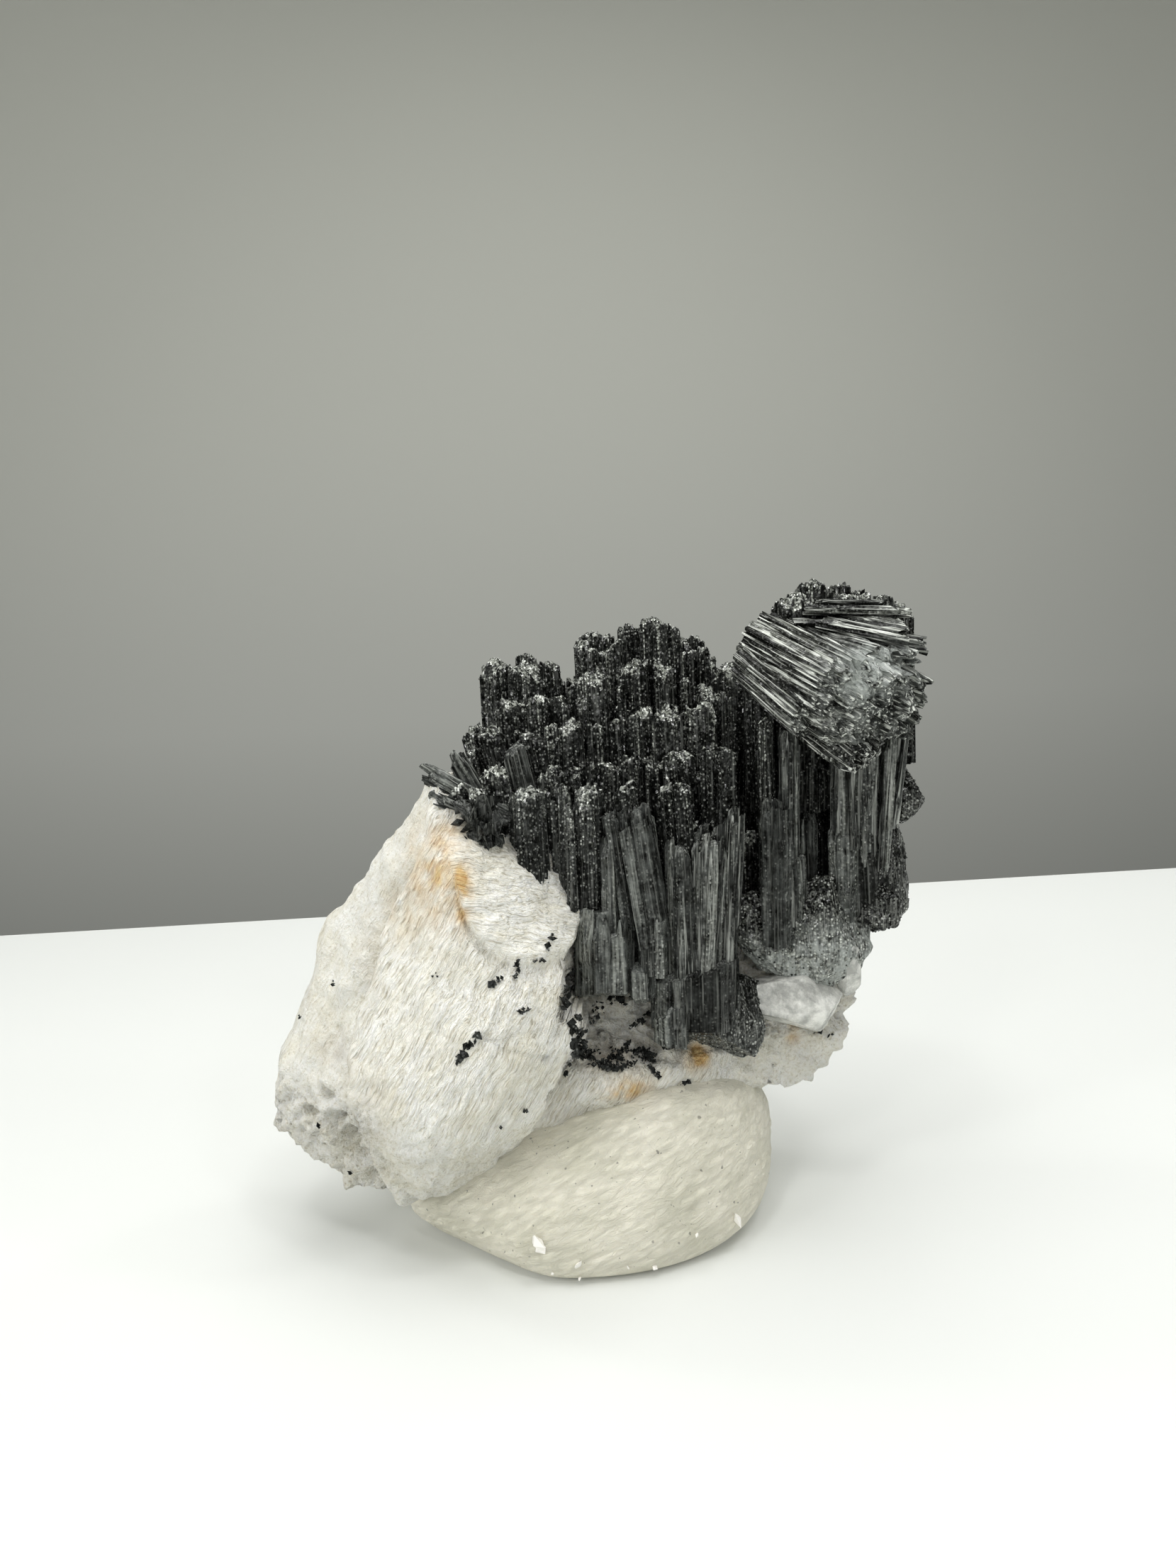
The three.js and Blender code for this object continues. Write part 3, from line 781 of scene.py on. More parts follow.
def smooth_prism(crystal, number):
    """Rings of the outline, each point moved inward by grooves at the stave's edges, the stave's
    own depth, breaks along it and fine noise. Over both ends the rings shrink, and their heights go
    from the staves' ends to those of a cracked plane."""
    foot, axes, length, half_width, half_depth, style = settled(crystal)
    seed = crystal_seed(number)
    outline, run = section_outline(half_width, half_depth, style, number)
    which, stave, other, edge = staves(outline, run, style, number)
    step_out = np.gradient(outline, axis=0)
    outward = np.stack([step_out[:, 1], -step_out[:, 0]], -1)
    outward = outward / np.maximum(np.linalg.norm(outward, axis=1, keepdims=True), 1e-9)
    slant = (hashed(np.array([number, 1, 7]), seed + 9) - 0.5) * 1.3
    high = length - style["drop"] * stave**1.5 + style["stairs"] * outline[:, 1] / half_depth
    high = high + slant * outline[:, 0]
    low = -style["ragged"] * other + style["sole_lean"] * outline[:, 1]
    rows = max(int(length / RING_STEP), 7)
    height = low + (high - low) * np.linspace(0, 1, rows)[:, None]
    x, y, strip, _ = np.broadcast_arrays(outline[:, 0], outline[:, 1], which, height)
    at = np.stack([x / GROOVE_STEP, y / GROOVE_STEP, height / GROOVE_LENGTH], -1)
    broken_at = np.floor(height / BREAK_STEP + 9 * stave)
    broken = hashed(np.stack([strip, broken_at, 0 * height + number], -1), seed + 6)
    inward = style["groove"] * edge + 0.8 * style["groove"] * other + 0.1 * broken
    inward = inward + 0.045 * noise(at, 1.0, seed + 7) + 0.05 * noise(at / 3.1, 1.0, seed + 8)
    size = style["taper"] + (1 - style["taper"]) * np.clip(height / length, 0, 1)
    ring = outline[None] * size[..., None] - outward[None] * inward[..., None]
    inner = max(int(min(half_width, half_depth) / GROOVE_STEP), 4)
    share = (np.arange(inner, 0, -1) / (inner + 1))[:, None]
    blend = smooth_step(0.82, 1.0, share)
    ends = []
    for is_top, rim, base in ((True, ring[-1], high), (False, ring[0], low)):
        spot = rim[None] * share[..., None]
        _, _, cell, _, _ = cells_over(
            spot[..., 0] + 40 * number, spot[..., 1], style["pillar"], seed + 12 + is_top)
        bumps = 0.07 * noise(np.dstack([spot, 0 * spot[..., :1]]), 0.22, seed + 15)
        if is_top:
            level = length - 0.9 * style["drop"] * cell**1.5
            level = level + style["stairs"] * spot[..., 1] / half_depth
            level = level + style["dome"] * (1 - share**2) + bumps + slant * spot[..., 0]
        else:
            level = style["sole_lean"] * spot[..., 1] - 0.3 * style["ragged"] * cell + bumps
        ends.append(np.dstack([spot, level * (1 - blend) + base[None] * blend]))
    top, sole = ends
    rings = np.concatenate([sole[::-1], np.dstack([ring, height]), top])
    local = np.concatenate([rings.reshape(-1, 3), [rings[0].mean(0), rings[-1].mean(0)]])
    tone = np.tile(style["pale"] * (0.45 * stave + 0.3 * other), (len(rings), 1))
    # Painted shade: the tone is lower at the staves' edges, where the grooves run; breaks add random
    # tone.
    tone[inner:inner + rows] *= (1 - 0.6 * edge) * (1.25 - 0.5 * broken)
    tone = np.concatenate([tone.ravel(), [MIDDLE_TONE, MIDDLE_TONE]])
    quads, fans = closed_rings(len(rings), len(outline))
    return placed_part(foot, axes, local, quads, fans, style, tone, number)


sample = smooth_prism(((0, 0, 0), (0, 0, 3), 1, 1, "fine"), 1)
print("a smooth crystal 2 mm wide has", len(sample[1]), "quads")

# %% [markdown]
# The crust itself is tiny crystals, seated on the pitted walls and tops. They catch light at the
# crystals' outlines, where bump can't. Each is an octahedron of eight faces, because there are
# thousands. Low on the right and in front the schorl is broken: those lumps are balls cut by flat
# planes, as a rock is by its cracks, and then roughened.

# %% Crust grains


def octahedra(spots, size, flatness, seed):
    """Small eight-sided crystals at spots: each is an octahedron with its axes stretched and then
    turned by hashed angles. flatness squashes one axis."""
    cell = counted(len(spots), 5)
    ends = np.array([(1, 0, 0), (0, 1, 0), (-1, 0, 0), (0, -1, 0), (0, 0, 1), (0, 0, -1.0)])
    turns = np.stack([hashed(cell, seed + k) for k in range(1, 4)], -1) * 2 * np.pi
    c, s = np.cos(turns), np.sin(turns)
    zero, one = np.zeros(len(spots)), np.ones(len(spots))
    turn = np.eye(3)
    for rows in (
        [(c[:, 0], -s[:, 0], zero), (s[:, 0], c[:, 0], zero), (zero, zero, one)],
        [(one, zero, zero), (zero, c[:, 1], -s[:, 1]), (zero, s[:, 1], c[:, 1])],
        [(c[:, 2], zero, s[:, 2]), (zero, one, zero), (-s[:, 2], zero, c[:, 2])],
    ):
        turn = turn @ np.stack([np.stack(row, -1) for row in rows], -2)
    stretch = np.stack([hashed(cell, seed + k) for k in range(4, 7)], -1) * 0.9 + 0.55
    stretch = stretch * np.array([1, 1, flatness])
    shape = (ends[None] * stretch[:, None]) @ np.swapaxes(turn, 1, 2)
    corners = (spots[:, None] + shape * np.reshape(size, (-1, 1, 1))).reshape(-1, 3)
    k = np.arange(4)
    beside = (k + 1) % 4
    one_grain = np.concatenate([
        np.stack([k, beside, np.full(4, 4)], -1), np.stack([beside, k, np.full(4, 5)], -1)])
    faces = (one_grain[None] + 6 * np.arange(len(spots))[:, None, None]).reshape(-1, 3)
    return corners, faces, np.repeat(hashed(cell, seed + 8), 6)


def spots_on(points, quads, density, seed):
    """Spots on a surface at that density per square millimetre, and each spot's quad: quads are
    picked by running area, then each spot blends its quad's corners by two hashed shares."""
    a, b, c, d = (points[quads[:, k]] for k in range(4))
    area = np.linalg.norm(np.cross(c - a, d - b), axis=1) / 2
    run = np.cumsum(area)
    count = int(density * run[-1])
    key = counted(count, 8)
    quad = np.searchsorted(run, (np.arange(count) + hashed(key, seed)) / count * run[-1])
    quad = np.minimum(quad, len(quads) - 1)
    s, t = hashed(key, seed + 1)[:, None], hashed(key, seed + 2)[:, None]
    spots = (1 - t) * ((1 - s) * a[quad] + s * b[quad]) + t * ((1 - s) * d[quad] + s * c[quad])
    return spots, quad


def crust_grains(part, density, below, seed):
    """Grains on one schorl part, down to that height: half sizes from 0.035 to 0.095 mm, before
    each is stretched. Each takes the tone of the wall it sits on, so the painted shade in the cracks
    falls on the grains there too."""
    points, quads, _, fields = part
    quads = quads[points[quads][..., 2].max(1) > below]
    spots, quad = spots_on(points, quads, density, seed)
    shown = spots[:, 2] > below
    spots, wall = spots[shown], fields["tone"][quads[quad[shown], 0]]
    size = 0.035 + 0.06 * hashed(counted(len(spots), 4), seed + 3) ** 2
    corners, faces, shade = octahedra(spots, size, 1.0, seed + 4)
    tone = (0.15 + 1.1 * shade) * np.clip(0.2 + 1.4 * np.repeat(wall, 6), 0, 1)
    return schorl_part(corners, NO_QUADS, faces, pitted=0.4, haze=0.1, tone=tone, sheen=0.2)


print("one grain has", len(octahedra(np.zeros((1, 3)), 1.0, 1.0, 1)[1]), "faces")

# %% Broken lumps
# How many planes cut one lump, and how many plates lie in the rosette.
PLANES, PLATES = 14, 48


def chunk(middle, size, rows, number, lean, rough):
    """A broken lump. The ball's radius in a direction is the least, over the hashed planes, of the
    plane's distance divided by the cosine of the angle to it. Noise roughens it, and it is turned
    by the lean about Y."""
    columns = int(1.4 * rows)
    polar = np.linspace(0, np.pi, rows)[1:-1, None]
    turn = 2 * np.pi * np.arange(columns)[None, :] / columns
    ball = np.stack(np.broadcast_arrays(
        np.sin(polar) * np.cos(turn), np.sin(polar) * np.sin(turn), np.cos(polar)), -1)
    unit = np.concatenate([ball.reshape(-1, 3), [[0, 0, 1.0], [0, 0, -1.0]]])
    faces = [face[:, ::-1] for face in closed_rings(rows - 2, columns)]
    key = counted(PLANES, number)
    turn, rise = 2 * np.pi * hashed(key, 1), 2 * hashed(key, 2) - 1
    flat = np.sqrt(1 - rise**2)
    facing = unit @ np.stack([flat * np.cos(turn), flat * np.sin(turn), rise], -1).T
    apart = 0.66 + 0.24 * hashed(key, 3)
    reach = np.where(facing > 0.3, apart / np.maximum(facing, 0.3), 9.0).min(1)
    reach = np.minimum(reach, 1.08) * (1 + rough * fractal(unit, 0.3, 5, number))
    c, s = np.cos(lean), np.sin(lean)
    turned = (unit * reach[:, None] * np.array(size)) @ [[c, 0.0, s], [0.0, 1.0, 0.0], [-s, 0.0, c]]
    return np.array(middle) + turned, faces


def lump_parts(rows):
    """Lumps as parts of a schorl piece, hazy and pale low down, with grains seated on them. Each row
    is a middle, half sizes, grid rows, number, lean, haze and tone."""
    parts = []
    for middle, size, grid, number, lean, haze, tone in rows:
        points, (quads, fans) = chunk(middle, size, grid, number, lean, 0.13)
        low = smooth_step(0.6, -0.5, (points[:, 2] - middle[2]) / size[2])
        shade = tone * (0.4 + 0.4 * low) * (1.3 + fractal(points, 0.7, 3, number))
        part = schorl_part(
            points, quads, fans, pitted=0.9, haze=haze * low, tone=shade, sheen=0.2)
        parts += [part, crust_grains(part, 7.0, 0.0, 9 * number)]
    return parts


def rosette():
    """Flat dark plates, hashed over a box where the spray meets the stone."""
    key = counted(PLATES, 6)
    apart = np.stack([hashed(key, 81), hashed(key, 82), hashed(key, 83)], -1) - 0.5
    spots = np.array([-4.6, -0.2, 18.4]) + apart * np.array([1.9, 1.0, 1.7])
    corners, faces, shade = octahedra(spots, 0.35 + 0.3 * hashed(key, 84), 0.35, 85)
    return schorl_part(
        corners, NO_QUADS, faces, pitted=0.1, haze=0.1, tone=0.6 * shade, sheen=0.1)


print("the rosette has", len(rosette()[0]) // 6, "plates")

# %% [markdown]
# The crystals stand in tiers like a flight of stairs, the tallest at the back. Each row below gives
# one crystal: foot, head, half width, half depth and style. The places are those of the packed
# solid, and a few short crystals fill the seams between the long ones.

# %% The tiers
BACK_TIER = [
    ((-3.4, 7.0, 13.0), (-3.3, 7.0, 25.1), 1.5, 1.9, "crust", {"drop": 0.4, "dome": 0.8}),
    ((-1.1, 7.0, 13.0), (-1.1, 7.0, 24.6), 1.2, 2.0, "crust"),
    ((1.0, 7.5, 13.0), (1.0, 7.5, 26.0), 1.4, 2.1, "crust"),
    ((3.2, 7.6, 13.0), (3.3, 7.6, 26.5), 1.3, 2.1, "crust", {"drop": 0.7}),
    ((5.0, 7.2, 13.0), (5.1, 7.2, 25.3), 1.1, 2.1, "crust"),
    ((6.7, 7.0, 13.0), (6.8, 7.0, 24.7), 1.1, 2.0, "crust"),
    ((8.8, 6.8, 13.0), (8.9, 6.8, 23.8), 1.5, 1.9, "crust"),
    ((11.2, 6.2, 14.5), (11.4, 6.2, 23.0), 1.4, 1.8, "crust"),
    ((1.6, 4.8, 13.0), (1.6, 4.8, 24.5), 2.5, 1.4, "crust", {"stairs": 0.5}),
]
MIDDLE_TIER = [
    ((-3.0, 4.4, 15.0), (-3.1, 4.4, 23.7), 0.95, 1.4, "crust"),
    ((-3.6, 3.4, 16.5), (-4.9, 3.4, 22.2), 1.1, 1.4, "crust"),
    ((-4.0, 2.6, 16.5), (-6.1, 2.8, 20.8), 0.9, 1.2, "crust", {"drop": 0.6}),
    ((-2.4, 2.0, 17.0), (-3.1, 1.6, 21.2), 0.55, 0.7, "fine", {"drop": 0.1, "ragged": 0.1}),
    ((-1.6, 2.4, 17.0), (-2.6, 2.3, 22.3), 0.6, 0.7, "crust", {"drop": 0.4}),
    ((-1.6, 3.9, 15.0), (-1.6, 3.9, 23.4), 0.9, 1.4, "crust"),
    ((0.3, 3.2, 14.0), (0.3, 3.2, 22.9), 1.5, 1.7, "crust", {"stairs": 0.3, "drop": 0.6}),
    ((2.9, 3.4, 14.0), (2.9, 3.4, 23.2), 1.4, 1.7, "crust", {"stairs": 0.3, "drop": 0.6}),
    ((5.3, 4.2, 14.0), (5.5, 4.2, 23.8), 1.2, 1.8, "crust", {"stairs": 0.3, "drop": 0.8}),
    ((-1.2, 1.9, 16.0), (-1.4, 1.9, 21.0), 0.9, 1.0, "crust"),
    ((0.9, 1.5, 16.0), (1.2, 1.6, 21.0), 1.0, 1.0, "crust"),
    ((3.9, 1.5, 16.0), (3.9, 1.6, 21.3), 1.0, 1.0, "crust"),
]
SPRAY = [
    ((-3.7, 1.9, 17.2), (-3.9, 1.9, 20.7), 0.9, 1.3, "crust", {"drop": 0.6, "gap": 1.0}),
    ((-3.2, 1.3, 18.2), (-6.9, 0.7, 20.7), 0.6, 0.5, "fine", {"haze": 0.3}),
    ((-3.4, 1.2, 17.8), (-6.5, 0.2, 19.7), 0.5, 0.5, "fine", {"haze": 0.3}),
    ((-4.2, 1.6, 18.2), (-5.6, 1.2, 21.2), 0.5, 0.5, "fine"),
    ((-4.6, 0.8, 17.6), (-4.8, 0.5, 18.9), 1.0, 0.9, "crust", {"drop": 0.4, "gap": 0.6}),
    ((-4.3, 1.0, 18.0), (-5.3, 0.5, 20.3), 0.8, 0.7, "crust", {"drop": 0.4, "gap": 0.6}),
]
FRONT_TIER = [
    ((-2.4, 0.9, 16.2), (-2.4, 0.9, 19.9), 1.1, 1.5, "crust",
     {"drop": 0.4, "ragged": 0.9, "pale": 1.6, "haze": 0.2}),
    ((-0.5, 0.6, 15.5), (-0.4, 0.6, 19.9), 1.15, 1.5, "crust",
     {"drop": 0.4, "ragged": 0.9, "pale": 1.6, "haze": 0.2}),
    ((0.6, -0.2, 12.0), (0.7, -0.2, 17.6), 0.5, 1.2, "blade", {"pitted": 0.3}),
    ((1.3, -0.4, 12.0), (1.4, -0.3, 18.8), 0.5, 1.1, "blade"),
    ((0.3, -0.7, 10.9), (0.45, -0.7, 14.9), 1.35, 1.2, "blade",
     {"sides": 6, "turned": 0.26, "stave": 1.0, "groove": 0.04, "pitted": 0.15, "ragged": 0.1,
      "sole_lean": -0.4, "drop": 1.8}),
    ((2.4, -1.2, 13.4), (1.8, -1.0, 18.8), 0.8, 0.85, "blade",
     {"sides": 5, "turned": -0.63, "stave": 0.9, "groove": 0.03, "pitted": 0.2, "haze": 0.4,
      "drop": 1.2}),
    ((1.35, -0.6, 14.0), (0.9, -0.5, 18.6), 0.5, 0.9, "blade", {"pitted": 0.6, "drop": 0.8}),
    ((1.5, -0.5, 17.6), (1.35, -0.5, 20.7), 0.55, 0.8, "crust"),
    ((2.3, -1.0, 12.0), (2.35, -1.0, 14.6), 0.74, 1.1, "blade",
     {"haze": 0.35, "drop": 0.8, "ragged": 0.1, "stave": 0.8, "groove": 0.04, "turned": 0.26}),
    ((3.65, -0.9, 11.8), (3.75, -0.85, 17.2), 0.78, 1.1, "fine",
     {"drop": 1.9, "stave": 0.34, "turned": -0.2}),
    ((4.5, -1.0, 11.8), (4.9, -0.9, 17.8), 0.98, 1.15, "fine",
     {"taper": 0.85, "drop": 2.3, "stave": 0.32, "turned": -0.2}),
    ((5.4, -0.8, 12.1), (5.8, -0.7, 18.4), 0.62, 1.0, "fine",
     {"taper": 0.85, "drop": 1.6, "turned": -0.2}),
    ((4.4, -0.4, 16.0), (4.5, -0.4, 18.2), 0.9, 0.9, "crust", {"gap": 0.6}),
    ((3.85, 0.1, 14.0), (3.6, 0.1, 20.4), 0.65, 1.2, "crust", {"gap": 1.2}),
    ((5.4, 0.5, 14.0), (5.5, 0.5, 21.5), 0.6, 1.2, "crust", {"gap": 1.2}),
    ((4.6, 0.6, 12.0), (4.6, 0.5, 18.7), 0.9, 1.1, "crust"),
    ((3.0, 1.2, 11.5), (3.0, 1.2, 16.5), 3.4, 1.2, "crust"),
    ((4.0, -1.25, 9.55), (4.05, -1.25, 11.95), 1.75, 0.95, "blade",
     {"turned": 0.26, "stave": 0.9, "groove": 0.05, "pitted": 0.2, "haze": 0.25, "drop": 0.25,
      "ragged": 0.35}),
    ((3.05, -1.3, 8.8), (3.05, -1.3, 10.4), 0.7, 0.75, "blade",
     {"sides": 5, "turned": -0.63, "stave": 0.9, "groove": 0.03, "drop": 0.1, "ragged": 0.0}),
    ((1.85, -1.2, 10.95), (1.85, -1.2, 12.1), 0.6, 0.8, "blade",
     {"stave": 0.8, "groove": 0.04, "drop": 0.1, "ragged": 0.1}),
]
RIGHT_SIDE = [
    ((7.65, 0.9, 13.5), (7.7, 0.9, 22.4), 0.42, 1.0, "crust", {"gap": 1.0}),
    ((7.6, 0.0, 12.5), (7.7, 0.0, 18.6), 0.6, 0.8, "blade", {"haze": 0.4, "sides": 5}),
    ((8.4, 0.6, 13.4), (8.55, 0.6, 21.6), 0.55, 0.9, "fine", {"drop": 2.0}),
    ((8.5, 1.0, 12.8), (8.5, 0.6, 16.1), 0.8, 0.9, "blade", {"drop": 2.2}),
    ((9.45, 1.8, 13.5), (9.4, 1.8, 17.6), 0.42, 0.8, "blade"),
    ((10.9, 0.9, 16.9), (10.95, 0.9, 21.6), 0.66, 1.1, "fine", {"drop": 2.0, "ragged": 0.8}),
    ((10.9, 1.1, 13.3), (10.85, 0.8, 17.3), 0.75, 1.0, "blade", {"drop": 0.8, "pitted": 0.6}),
    ((11.75, 1.0, 16.4), (11.85, 1.0, 21.6), 0.66, 1.1, "fine", {"pitted": 0.5, "ragged": 0.8}),
    ((11.8, 1.3, 14.0), (11.7, 1.1, 17.0), 0.6, 1.0, "blade", {"haze": 0.1}),
    ((12.45, 0.9, 16.0), (12.85, 0.9, 21.5), 0.42, 0.9, "fine", {"haze": 0.3, "ragged": 0.9}),
    ((12.9, 1.1, 17.4), (13.5, 1.1, 21.7), 0.36, 0.8, "fine", {"haze": 0.4, "sheen": 0.7}),
    # This crystal behind the gap has no pale tone and few grains, so it reads as the gap's shade:
    # painted shade.
    ((6.6, 3.0, 10.8), (6.6, 3.0, 17.5), 1.1, 0.9, "crust", {"pale": 0.0, "grains": 1.0}),
    ((10.4, 3.3, 12.5), (10.4, 3.3, 21.8), 2.9, 1.0, "crust"),
]
PEAK = [
    ((11.2, 3.2, 18.0), (11.3, 3.2, 26.6), 2.6, 1.7, "crust", {"gap": 0.8, "drop": 0.7}),
    ((10.6, 2.5, 20.0), (10.7, 2.5, 27.7), 1.5, 1.4, "crust", {"gap": 0.4, "drop": 0.5}),
    ((9.4, 2.4, 20.0), (9.4, 2.4, 27.3), 1.2, 1.3, "crust", {"gap": 0.4, "drop": 0.6}),
    ((11.9, 2.3, 20.0), (11.9, 2.3, 27.4), 1.2, 1.4, "crust", {"gap": 0.4, "drop": 0.5}),
    ((13.1, 2.6, 20.0), (13.2, 2.6, 27.0), 1.0, 1.3, "crust", {"gap": 0.5, "drop": 0.6}),
    ((8.0, 3.0, 18.0), (8.1, 3.0, 25.7), 0.9, 1.4, "crust", {"gap": 0.8}),
    ((9.0, 1.1, 26.1), (13.0, 0.9, 25.9), 0.12, 1.3, "head", {"haze": 0.1}),
    ((9.6, 1.3, 26.5), (13.6, 1.0, 26.2), 0.10, 1.3, "head", {"haze": 0.1}),
    ((10.2, 1.6, 26.9), (12.6, 1.4, 26.7), 0.10, 1.1, "head", {"haze": 0.1}),
]
CORE = [
    ((1.3, 4.6, 12.2), (1.4, 4.6, 20.8), 4.7, 3.6, "crust", {"step": 0.14, "grains": 4.0}),
    ((7.4, 5.8, 12.4), (8.4, 5.8, 21.8), 5.0, 2.0, "crust", {"step": 0.14, "grains": 4.0}),
]
HEAD = [
    ((8.3, 2.2, 24.7), (10.8, -3.6, 23.0), 2.0, 2.1, "head", {"dome": 0.4}),
    ((7.1, 1.4, 24.2), (8.8, -2.4, 22.5), 0.9, 1.2, "head", {"haze": 0.2}),
    ((9.2, 2.0, 25.5), (11.9, -2.8, 24.5), 1.7, 0.75, "head", {"haze": 0.9}),
    ((11.0, 2.2, 24.2), (12.8, -2.0, 22.7), 1.0, 1.8, "head"),
    ((9.4, 1.6, 22.7), (11.2, -2.6, 21.1), 1.8, 0.9, "head", {"haze": 0.1, "pitted": 0.7}),
    ((12.2, 0.8, 25.2), (14.0, -0.7, 24.9), 0.6, 0.4, "head"),
    ((10.6, 0.6, 26.2), (13.0, -1.4, 25.6), 1.4, 0.3, "head", {"haze": 0.4}),
]
# Lumps without a crystal's form: middle, half sizes, grid rows, number, lean, haze and tone.
DRUSE = [
    ((8.2, 0.75, 12.2), (2.8, 1.1, 1.9), 100, 87, -0.6, 1.5, 1.0),
    ((9.6, 0.7, 12.7), (2.2, 1.1, 2.4), 100, 84, 0.25, 1.5, 1.0),
]
RIGHT_LUMPS = [
    ((12.6, 1.9, 15.0), (1.45, 1.4, 2.6), 80, 88, 0.0, 0.1, 0.45),
    ((12.3, 1.0, 13.6), (1.4, 1.0, 1.05), 60, 89, 0.1, 0.05, 0.4),
    ((14.0, 2.7, 18.1), (0.9, 0.9, 1.2), 50, 90, 0.2, 0.06, 0.7),
]
FRONT_LUMPS = [((5.45, 0.1, 9.4), (2.2, 1.7, 2.3), 90, 91, 0.1, 0.2, 0.5)]

print("the lumps are", len(DRUSE + RIGHT_LUMPS + FRONT_LUMPS))

# %% Whole tiers


def schorl_piece(name, crystals, first_number, more=()):
    """All of a tier's crystals and the crust on them, as one mesh."""
    parts = list(more)
    for number, crystal in enumerate(crystals, first_number):
        if crystal[4] == "crust":
            part = crusted(crystal, number)
            density = settled(crystal)[-1]["grains"]
            parts += [part, crust_grains(part, density, crystal[1][2] - 5.0, 9 * number)]
        else:
            parts.append(smooth_prism(crystal, number))
    starts = np.cumsum([0] + [len(part[0]) for part in parts[:-1]])
    points = np.concatenate([part[0] for part in parts])
    quads, triangles = (
        np.concatenate([part[k] + start for part, start in zip(parts, starts)]) for k in (1, 2))
    fields = {key: np.concatenate([part[3][key] for part in parts]) for key in parts[0][3]}
    piece = add_piece(name, points, [quads, triangles], SCHORL, smooth=False, fields=fields)
    stands_for(piece, "schorl_cluster")


schorl_piece("schorl_back_tier", BACK_TIER, 0)
schorl_piece("schorl_middle_tier", MIDDLE_TIER + SPRAY, 10, [rosette()])
schorl_piece("schorl_front_tier", FRONT_TIER, 30, lump_parts(FRONT_LUMPS))
schorl_piece("schorl_right_side", RIGHT_SIDE, 60, lump_parts(DRUSE + RIGHT_LUMPS))
schorl_piece("schorl_peak", PEAK + CORE, 80)
schorl_piece("schorl_head", HEAD, 90)

# %% [markdown]
# ## The feldspar
# The stone is a leaning block with a wing to the right. It could be carved out of a ball with noise,
# but its outline from the front is what the eye knows it by, and noise would lose that. So its
# surface is a pillow: one parameter runs round the outline, the other from the front's middle out
# to the rim and on to the back's middle. The depth at each place comes from a thin plate bent
# through a few measured spots, and folds, grooves and broken ground are added to it.

# %% Outline and depths
# Rim of the stone as (x, z, y), going round from the top by the left.
RIM = [
    (-6.5, 20.3, 1.0), (-8.0, 18.3, 1.8), (-9.9, 16.5, 2.4), (-11.5, 14.5, 2.8), (-12.5, 13.4, 2.8),
    (-13.0, 12.0, 2.5), (-14.2, 9.5, 2.0), (-14.9, 7.9, 1.5), (-15.2, 6.3, 1.0), (-14.7, 4.9, 0.5),
    (-13.2, 4.1, 0.0), (-12.0, 3.2, -0.6), (-10.4, 2.5, -1.0), (-8.6, 2.3, -1.2), (-6.6, 2.7, -1.0),
    (-4.6, 3.8, -0.8), (-2.6, 4.8, 0.0), (1.0, 5.2, 0.6), (4.6, 5.6, 1.0), (7.4, 5.4, 1.2),
    (8.8, 5.4, 1.4), (10.2, 6.3, 1.6), (11.1, 7.7, 1.8), (10.7, 9.3, 2.2), (9.2, 10.8, 2.6),
    (6.6, 12.0, 3.0), (3.0, 13.6, 3.4), (-0.4, 16.4, 3.2), (-2.6, 18.4, 2.6), (-4.8, 20.0, 1.8),
]
# Depth y of the front at spots (x, z).
FRONT_SPOTS = [
    (-7.0, 18.5, -0.9), (-5.2, 17.6, -1.6), (-3.4, 17.6, 0.4), (-1.0, 16.4, 0.6),
    (-2.2, 16.6, -0.1), (-0.8, 15.2, -0.9), (-3.4, 16.2, -1.4),
    (-9.4, 15.6, -0.4), (-7.6, 15.4, -1.9), (-5.0, 15.0, -3.0), (-2.4, 14.6, -2.0),
    (-11.6, 12.6, 0.3), (-10.0, 12.8, -1.0), (-8.0, 12.4, -2.8), (-5.0, 12.6, -3.9),
    (-2.4, 12.6, -3.5), (-13.2, 9.0, -0.6), (-11.2, 9.6, -1.7), (-9.0, 9.4, -3.9),
    (-6.0, 9.6, -4.8), (-3.4, 9.8, -4.6), (-13.5, 6.4, -1.7), (-11.2, 6.2, -2.9),
    (-8.4, 6.2, -4.4), (-5.0, 6.6, -4.8), (-10.6, 4.4, -2.6), (-7.6, 4.2, -3.8),
    (-4.8, 4.8, -3.6), (-2.0, 8.6, -4.0),
]
LEDGE_SPOTS = [
    (-3.0, 5.2, -2.4), (0.0, 5.6, -1.9), (3.0, 6.2, -1.6), (6.0, 6.6, -0.6), (9.0, 6.2, 0.4),
    (10.4, 7.6, 0.7), (9.4, 9.2, 1.0), (7.0, 8.4, 0.2), (0.0, 7.4, -1.7), (3.0, 7.6, -1.2),
    (-0.4, 8.2, -0.1), (1.4, 8.1, 0.0), (0.0, 9.2, 0.8), (3.0, 9.4, 0.9), (0.0, 11.4, 0.7),
    (4.0, 11.0, 1.2), (-2.0, 9.6, 1.0),
]
BACK_SPOTS = [
    (-7.0, 17.5, 5.0), (-3.0, 17.0, 6.6), (-11.0, 13.0, 6.2), (-7.0, 13.0, 8.2), (-2.0, 13.4, 8.6),
    (3.0, 12.4, 8.4), (7.6, 10.0, 6.8), (-13.2, 8.4, 5.4), (-9.6, 8.6, 7.8), (-4.0, 8.6, 8.9),
    (2.0, 8.0, 8.4), (7.4, 7.4, 7.0), (-12.2, 5.4, 4.6), (-8.4, 4.6, 6.0), (-3.0, 5.4, 6.6),
    (3.0, 5.8, 6.0),
]
PILLOW_MIDDLE = np.array([-4.6, 10.8])
STEPS_PER_SPAN = 60
# How freely the plate may miss the spots. At 0 it goes through each, and bends more for it.
PLATE_GIVE = 0.02


